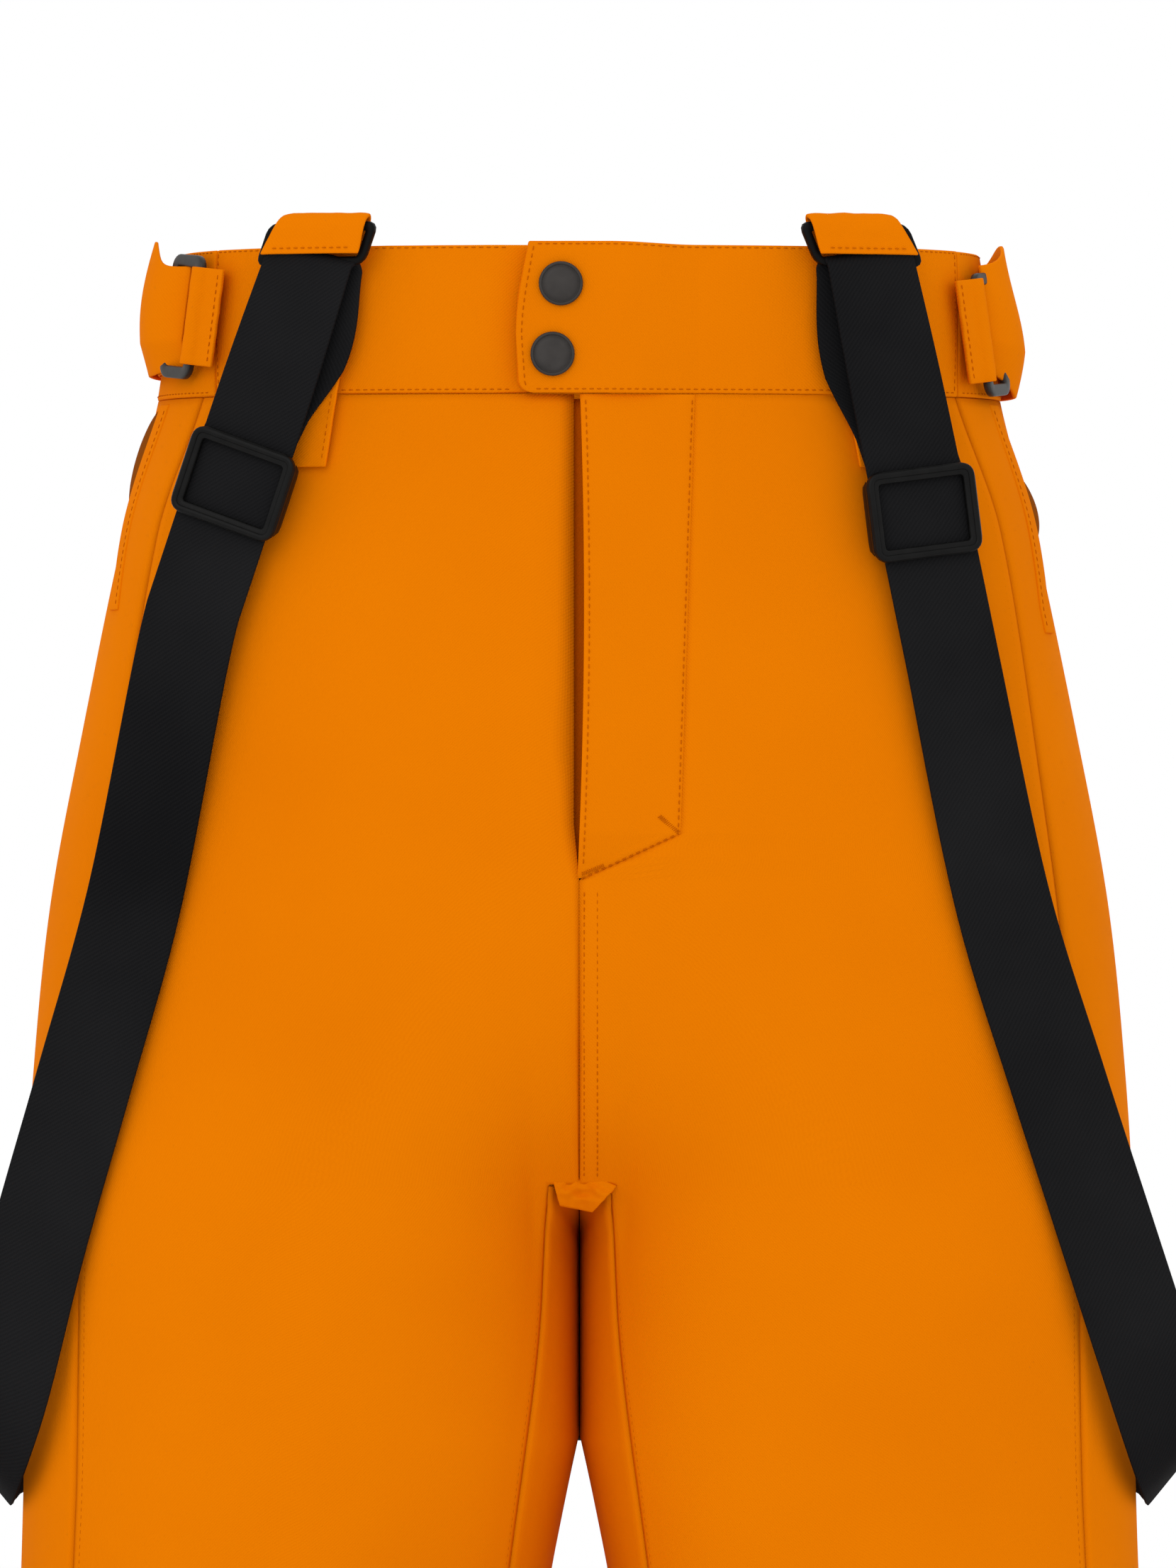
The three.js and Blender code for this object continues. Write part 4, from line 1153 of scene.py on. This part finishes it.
ROUND_LEG = [
    (223, -64, -440, 0.88, 0.10, 0.47), (231, -48, -466, 0.75, 0.02, 0.66), (234, -15, -475, 0.64, 0, 0.77),
    (235, 25, -476, 0.64, 0, 0.77), (231, 62, -474, 0.60, -0.05, 0.80), (213, 88, -471, 0.40, -0.12, 0.90),
    (178, 103, -466, 0.20, -0.03, 0.98), (120, 109, -459, 0.14, 0, 0.99), (75, 108, -453, 0.12, 0, 0.99),
    (39.5, 106.4, -448, 0.12, 0, 0.99), (12, 106.4, -444, 0.12, 0, 0.99),
]
REAR_RUN = [(132, -200), (131, -250), (127, -300), (119, -350), (110, -395), (106.4, -411), (106.0, -432)]


def thigh_station(x, z, slope):
    """The strap rests on the thigh: its highest line of contact decides how far out it lies."""
    edge = section_at(z)[0] - 2
    spots = [min(x + share * WEBBING_HALF, edge) for share in (-1, -0.5, 0, 0.5)]
    hover = min(front_point(spot, z, 3.5).y - (spot - x) * slope for spot in spots)
    return (x, hover, z, 0.93, slope, 0.30)


def web_relief(share, t):
    """A woven selvedge: a slightly thicker cord along both edges of the webbing."""
    return 0.18 * math.exp(-((abs(share) - 0.95) / 0.05) ** 2)


for name, brace in BRACES.items():
    side = brace["side"]
    pitch = REAR_PITCH if name == "rear" else 0.0
    hanger = strap_frame(brace) @ Matrix.Rotation(math.radians(pitch), 4, "X")
    lean = math.tan(math.radians(brace["lean"] * side))
    back_end = 40.0 if name == "rear" else brace["drop"] - 8.0
    layers_part = 0.0 if name == "rear" else -LAYERS_PART * side
    local = []
    for k in range(24):
        z = lerp(-back_end, 0, k / 24)
        bow = 0.0 if name == "rear" else -LAYER_BOW * side * math.sin(math.pi * clamp((k - 5) / 19)) ** 1.3
        tuck = 0.0 if name == "rear" else LAYER_TUCK * side * (1 - clamp(k / 12))
        local.append(Vector((layers_part * clamp(k / 12) + bow + tuck - lean * z, LOOP_RADIUS, z)))
    for k in range(13):
        a = math.pi * k / 12
        shift = layers_part * (1 - k / 12)
        local.append(Vector((shift, LOOP_RADIUS * math.cos(a), LOOP_RADIUS * math.sin(a))))
    end_z = -STRAIGHT_RUN[name] - (SLIDER_BAR_DROP - RING_BAR_DROP)
    for k in range(1, 40):
        z = lerp(0, end_z, k / 39)
        local.append(Vector((-lean * z, -LOOP_RADIUS, z)))
    way = hanger.to_3x3() @ Vector((1, 0, 0))
    middles = [hanger @ p for p in local]
    acrosses = [way.copy() for _ in local]
    if name == "rear":
        onward = [(0, y, z, -1, 0, 0) for y, z in REAR_RUN]
    else:
        onward = [thigh_station(*station) for station in THIGH_STATIONS[name]] + ROUND_LEG
        onward = [(side * x, y, z, wx, side * wy, side * wz) for x, y, z, wx, wy, wz in onward]
    lead = [Vector((*middles[k], *acrosses[k])) for k in (-9, -1)]
    points = lead + [Vector(station) for station in onward]
    curve = curve_through(points, lambda gap: max(3, int(gap / 3.5)))
    curve = curve[max(3, int((lead[1] - lead[0]).length / 3.5)) + 1:]
    middles += [Vector(p[:3]) for p in curve]
    acrosses += [Vector(p[3:]) for p in curve]
    rows = len(middles) - 1

    def strap_half_width(t, rows=rows):
        return WEBBING_HALF - 1.9 * math.exp(-((t * rows - 30) / 13) ** 2)

    strap = strip_along(f"brace_strap_{name}", middles, acrosses, strap_half_width, 14, webbing, web_relief)
    soften(thicken(strap, WEBBING, offset=0.0), 0.4)
    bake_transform(strap)
    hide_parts(f"strap_upper_{name}", f"strap_lower_{name}")
    length = run_length(middles)[-1] * MM

JUNCTION_CUT = (0.073, 0.062)
JUNCTION_TOP = -410.6
JUNCTION_BOTTOM = -472


def junction_point(u, w):
    z = lerp(JUNCTION_TOP, JUNCTION_BOTTOM, w)
    half = lerp(21.5, 36.6, clamp((JUNCTION_TOP - z) / 17))
    x = lerp(half, -half, u)
    edge = min(half - abs(x), JUNCTION_TOP - z, z - JUNCTION_BOTTOM)
    dome = 0.9 * clamp(edge / 3.0) ** 0.5
    return Vector((x, 108.3 + dome, z))


junction_heights = [k / 40 for k in range(41)]
junction = shaped_grid("strap_junction", 40, junction_heights, junction_point, JUNCTION_CUT, webbing,
                       facing=lambda point: Vector((0, 1, 0)))
soften(thicken(junction, 3.6), 0.6)
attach(junction, "trousers")
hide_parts("strap_junction")
junction_stitches = bmesh.new()


def patch_row(t):
    corners = [(-18.5, -413.5), (18.5, -413.5), (33.5, -429), (33.5, -468.5), (-33.5, -468.5), (-33.5, -429)]
    k = int(t) % 6
    a, b = corners[k], corners[(k + 1) % 6]
    x, z = lerp(a[0], b[0], t - int(t)), lerp(a[1], b[1], t - int(t))
    return Vector((x, 109.3, z)), Vector((0, 1, 0))


stitch_row(junction_stitches, patch_row, 0, 5.999, steps=600)
junction_stitching = object_from(junction_stitches, "patch_stitching", webbing_on_cad)
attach(junction_stitching, "trousers")

# ---------------------------------------------------------------------------
# Sliders. Moulded black three-bar sliders set the length of each front strap; the
# webbing passes behind the raised frame and over the bar in its middle.
# ---------------------------------------------------------------------------
slider_plastic = hard_material("slider_plastic", (0.0055, 0.0054, 0.0052, 1), (0.0030, 0.0029, 0.0028, 1), 0.42,
                               shine=0.12)
for name, extra_turn in (("left", 5.0), ("right", 0.0)):
    brace = BRACES[name]
    side = brace["side"]
    lean = brace["lean"] * side
    seat = strap_frame(brace) @ Matrix.Translation((0, 0, RING_BAR_DROP - SLIDER_BAR_DROP))
    seat = seat @ Matrix.Translation((math.tan(math.radians(lean)) * brace["drop"], 0, -brace["drop"]))
    seat = seat @ Matrix.Rotation(math.radians(extra_turn * side - lean), 4, "Y")
    slider_mesh = bmesh.new()
    add_frame(slider_mesh, seat, 22.3, 17.6, 3.6, 5.0, 3.2, y=-6.2, around=128)
    add_frame(slider_mesh, seat, 21.9, 17.2, 3.4, 2.6, 2.4, y=-7.3, around=128, squareness=0.8)
    for direction in (-1, 1):
        x = 20.6 * direction
        add_bar(slider_mesh, seat, (x, -1.9, -14.5), (x, -1.9, 14.5), 2.2, 6.4)
    add_bar(slider_mesh, seat, (-21.2, -0.4, 0), (21.2, -0.4, 0), 6.4, 2.4)
    bmesh.ops.recalc_face_normals(slider_mesh, faces=slider_mesh.faces)
    run = math.tan(math.radians(lean))
    tail_heights = [lerp(-brace["drop"] - 6, 36 - brace["drop"], k / 14) for k in range(15)]
    tail_frame = strap_frame(brace)
    tail_middles = [tail_frame @ Vector((1.6 * side - run * z, 1.55, z)) for z in tail_heights]
    tail_way = tail_frame.to_3x3() @ Vector((1, 0, 0))
    tail = strip_along(f"strap_tail_{name}", tail_middles, [tail_way] * 15, lambda t: WEBBING_HALF - 0.8, 8, webbing)
    soften(thicken(tail, 1.3, offset=0.0), 0.3)
    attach(tail, f"slider_{name}")
    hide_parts(f"strap_tail_{name}")
    slider = object_from(slider_mesh, f"strap_slider_{name}", slider_plastic)
    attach(slider, f"slider_{name}")
    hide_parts(f"strap_slider_{name}")

# ---------------------------------------------------------------------------
# Waist adjusters. An anchor loop of shell cloth holds a dark metal ring; a strip
# from the back band comes through the ring, doubles back, and ends in a pull tab.
# ---------------------------------------------------------------------------
ADJUSTERS = {
    "left": {"side": 1, "angle": 0.31, "height": -33.0, "loop": (20.2, 1.8), "rise": (10.0, 0.24), "sag": 10.0,
             "belly": (1.5, 7.5)},
    "right": {"side": -1, "angle": 0.42, "height": -26.5, "loop": (19.0, 0.6), "rise": (11.0, 0.15), "sag": 2.0,
              "belly": (7.0, 3.0)},
}
RING_STANDOFF = 4.6
STRIP_CUT = (0.085, 0.042)
PULL_TAB_CUT = (0.075, 0.04)
adjuster_metal = hard_material("adjuster_metal", (0.040, 0.037, 0.034, 1), (0.022, 0.020, 0.018, 1), 0.4, 0.4,
                               shine=0.35)
adjuster_stitches = bmesh.new()
for name, setting in ADJUSTERS.items():
    side, angle, height = setting["side"], setting["angle"], setting["height"]
    centre = body_point(side, angle, height, BAND_OUTSET + RING_STANDOFF)
    ahead = body_point(side, angle + 0.05, height, BAND_OUTSET + RING_STANDOFF)
    above = body_point(side, angle, height + 10, BAND_OUTSET + RING_STANDOFF)
    up = (above - centre).normalized()
    forward = (ahead - centre).normalized() * -side
    inward = up.cross(forward).normalized()
    along_x = inward.cross(up)
    mount = Matrix((along_x, inward, up)).transposed().to_4x4()
    mount = Matrix.Translation(centre) @ mount
    front = -side

    ring_mesh = bmesh.new()
    add_frame(ring_mesh, mount, 11.6, 24.2, 3.0, 4.8, 3.0, around=128, squareness=0.4)
    bmesh.ops.recalc_face_normals(ring_mesh, faces=ring_mesh.faces)
    ring = object_from(ring_mesh, f"adjuster_ring_{name}", adjuster_metal)
    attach(ring, "trousers")
    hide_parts(f"adjuster_ring_{name}")

    loop_route = [(24, 1.9), (20, 1.5), (15, 0.1), (12.4, -1.9), (9.5, -2.9), (6.8, -1.8), (5.9, 0.4),
                  (7.2, 2.4), (9.8, 3.0), (13, 2.8), (22, 2.9)]
    loop = curve_through([Vector(p) for p in loop_route], lambda gap: max(2, int(gap / 0.8)))
    loop_half, loop_rise = setting["loop"]
    middles = [mount @ Vector((front * p.x, p.y, loop_rise)) for p in loop]
    anchor = strip_along(f"adjuster_anchor_{name}", middles, [up] * len(middles),
                         lambda t, half=loop_half: half, 16, shell_cloth,
                         lambda share, t: 0.25 * noise.noise(Vector((share * 4, t * 12, 9.0))))
    soften(thicken(anchor, 1.4, offset=0.0), 0.45)
    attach(anchor, "trousers")
    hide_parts(f"adjuster_anchor_{name}")

    def anchor_row(z, mount=mount, front=front, inward=inward):
        return mount @ Vector((front * 21.5, 0.9, z)), -inward
    stitch_row(adjuster_stitches, anchor_row, loop_rise + 1.5 - loop_half, loop_rise - 1.5 + loop_half, steps=40)

    strip_heights = levels((-6, -48, 20))

    def strip_place(u, z, side=side, angle=angle):
        outset = BAND_OUTSET + 1.4 + 3.4 * clamp(1 - u / 0.12) + 0.1 * math.sin(u * 40)
        return body_point(side, lerp(angle - 0.05, angle - 0.9, u), z, outset)

    strip = shaped_grid(f"adjuster_strip_{name}", 50, strip_heights, strip_place, STRIP_CUT, shell_cloth,
                        facing=away_from_leg(side))
    soften(thicken(strip, 1.1), 0.4)
    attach(strip, "trousers")
    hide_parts(f"adjuster_strip_{name}")

    def tab_place(u, z, side=side, angle=angle, setting=setting):
        level = clamp((z + 47) / 40)
        start = angle + 0.015
        lift = lerp(9.2, 3.4, clamp((u - 0.22) / 0.5)) * (0.62 + 0.38 * clamp(level * 3.5))
        mouth = -4.4 * (1 - clamp(u / 0.2)) ** 2
        high_belly, low_belly = setting["belly"]
        bulge = math.sin(math.pi * clamp(u / 0.75)) ** 1.2 * math.sin(math.pi * (0.12 + 0.8 * level))
        belly = lerp(low_belly, high_belly, level) * bulge
        rise, spread = setting["rise"]
        peak = math.exp(-((u - 0.38) / spread) ** 2)
        point = body_point(side, lerp(start, angle - 0.75, u), z, BAND_OUTSET + lift + mouth + belly)
        point.z += rise * peak * level ** 3 - setting["sag"] * clamp(u / 0.25) * (1 - level) ** 3
        return point

    tab = shaped_grid(f"adjuster_tab_{name}", 40, levels((-7, -47, 28)), tab_place, PULL_TAB_CUT, shell_cloth,
                      facing=away_from_leg(side))
    soften(thicken(tab, 1.5), 0.5)
    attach(tab, f"adjuster_flap_{name}")
    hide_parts(f"adjuster_tab_{name}")
adjuster_stitching = object_from(adjuster_stitches, "adjuster_stitching", thread)
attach(adjuster_stitching, "trousers")

# ---------------------------------------------------------------------------
# Hidden hardware. The zip, its tapes and guard, the snap sockets and studs, and the
# pocket bags lie out of sight and keep their plain shapes in the same materials.
# ---------------------------------------------------------------------------
CAD_MATERIALS = [
    (lining_on_cad, ["pocket_bag_left", "pocket_bag_right", "zip_tape_left", "zip_tape_right", "fly_guard"]),
    (zip_brass, ["zip_teeth_left", "zip_teeth_right", "zip_slider", "zip_pull"]),
    (snap_metal, ["snap_socket_upper", "snap_socket_lower", "snap_stud_upper", "snap_stud_lower"]),
]
for finish, nodes in CAD_MATERIALS:
    for node in nodes:
        for held in bpy.data.objects[node].material_slots:
            held.material = finish
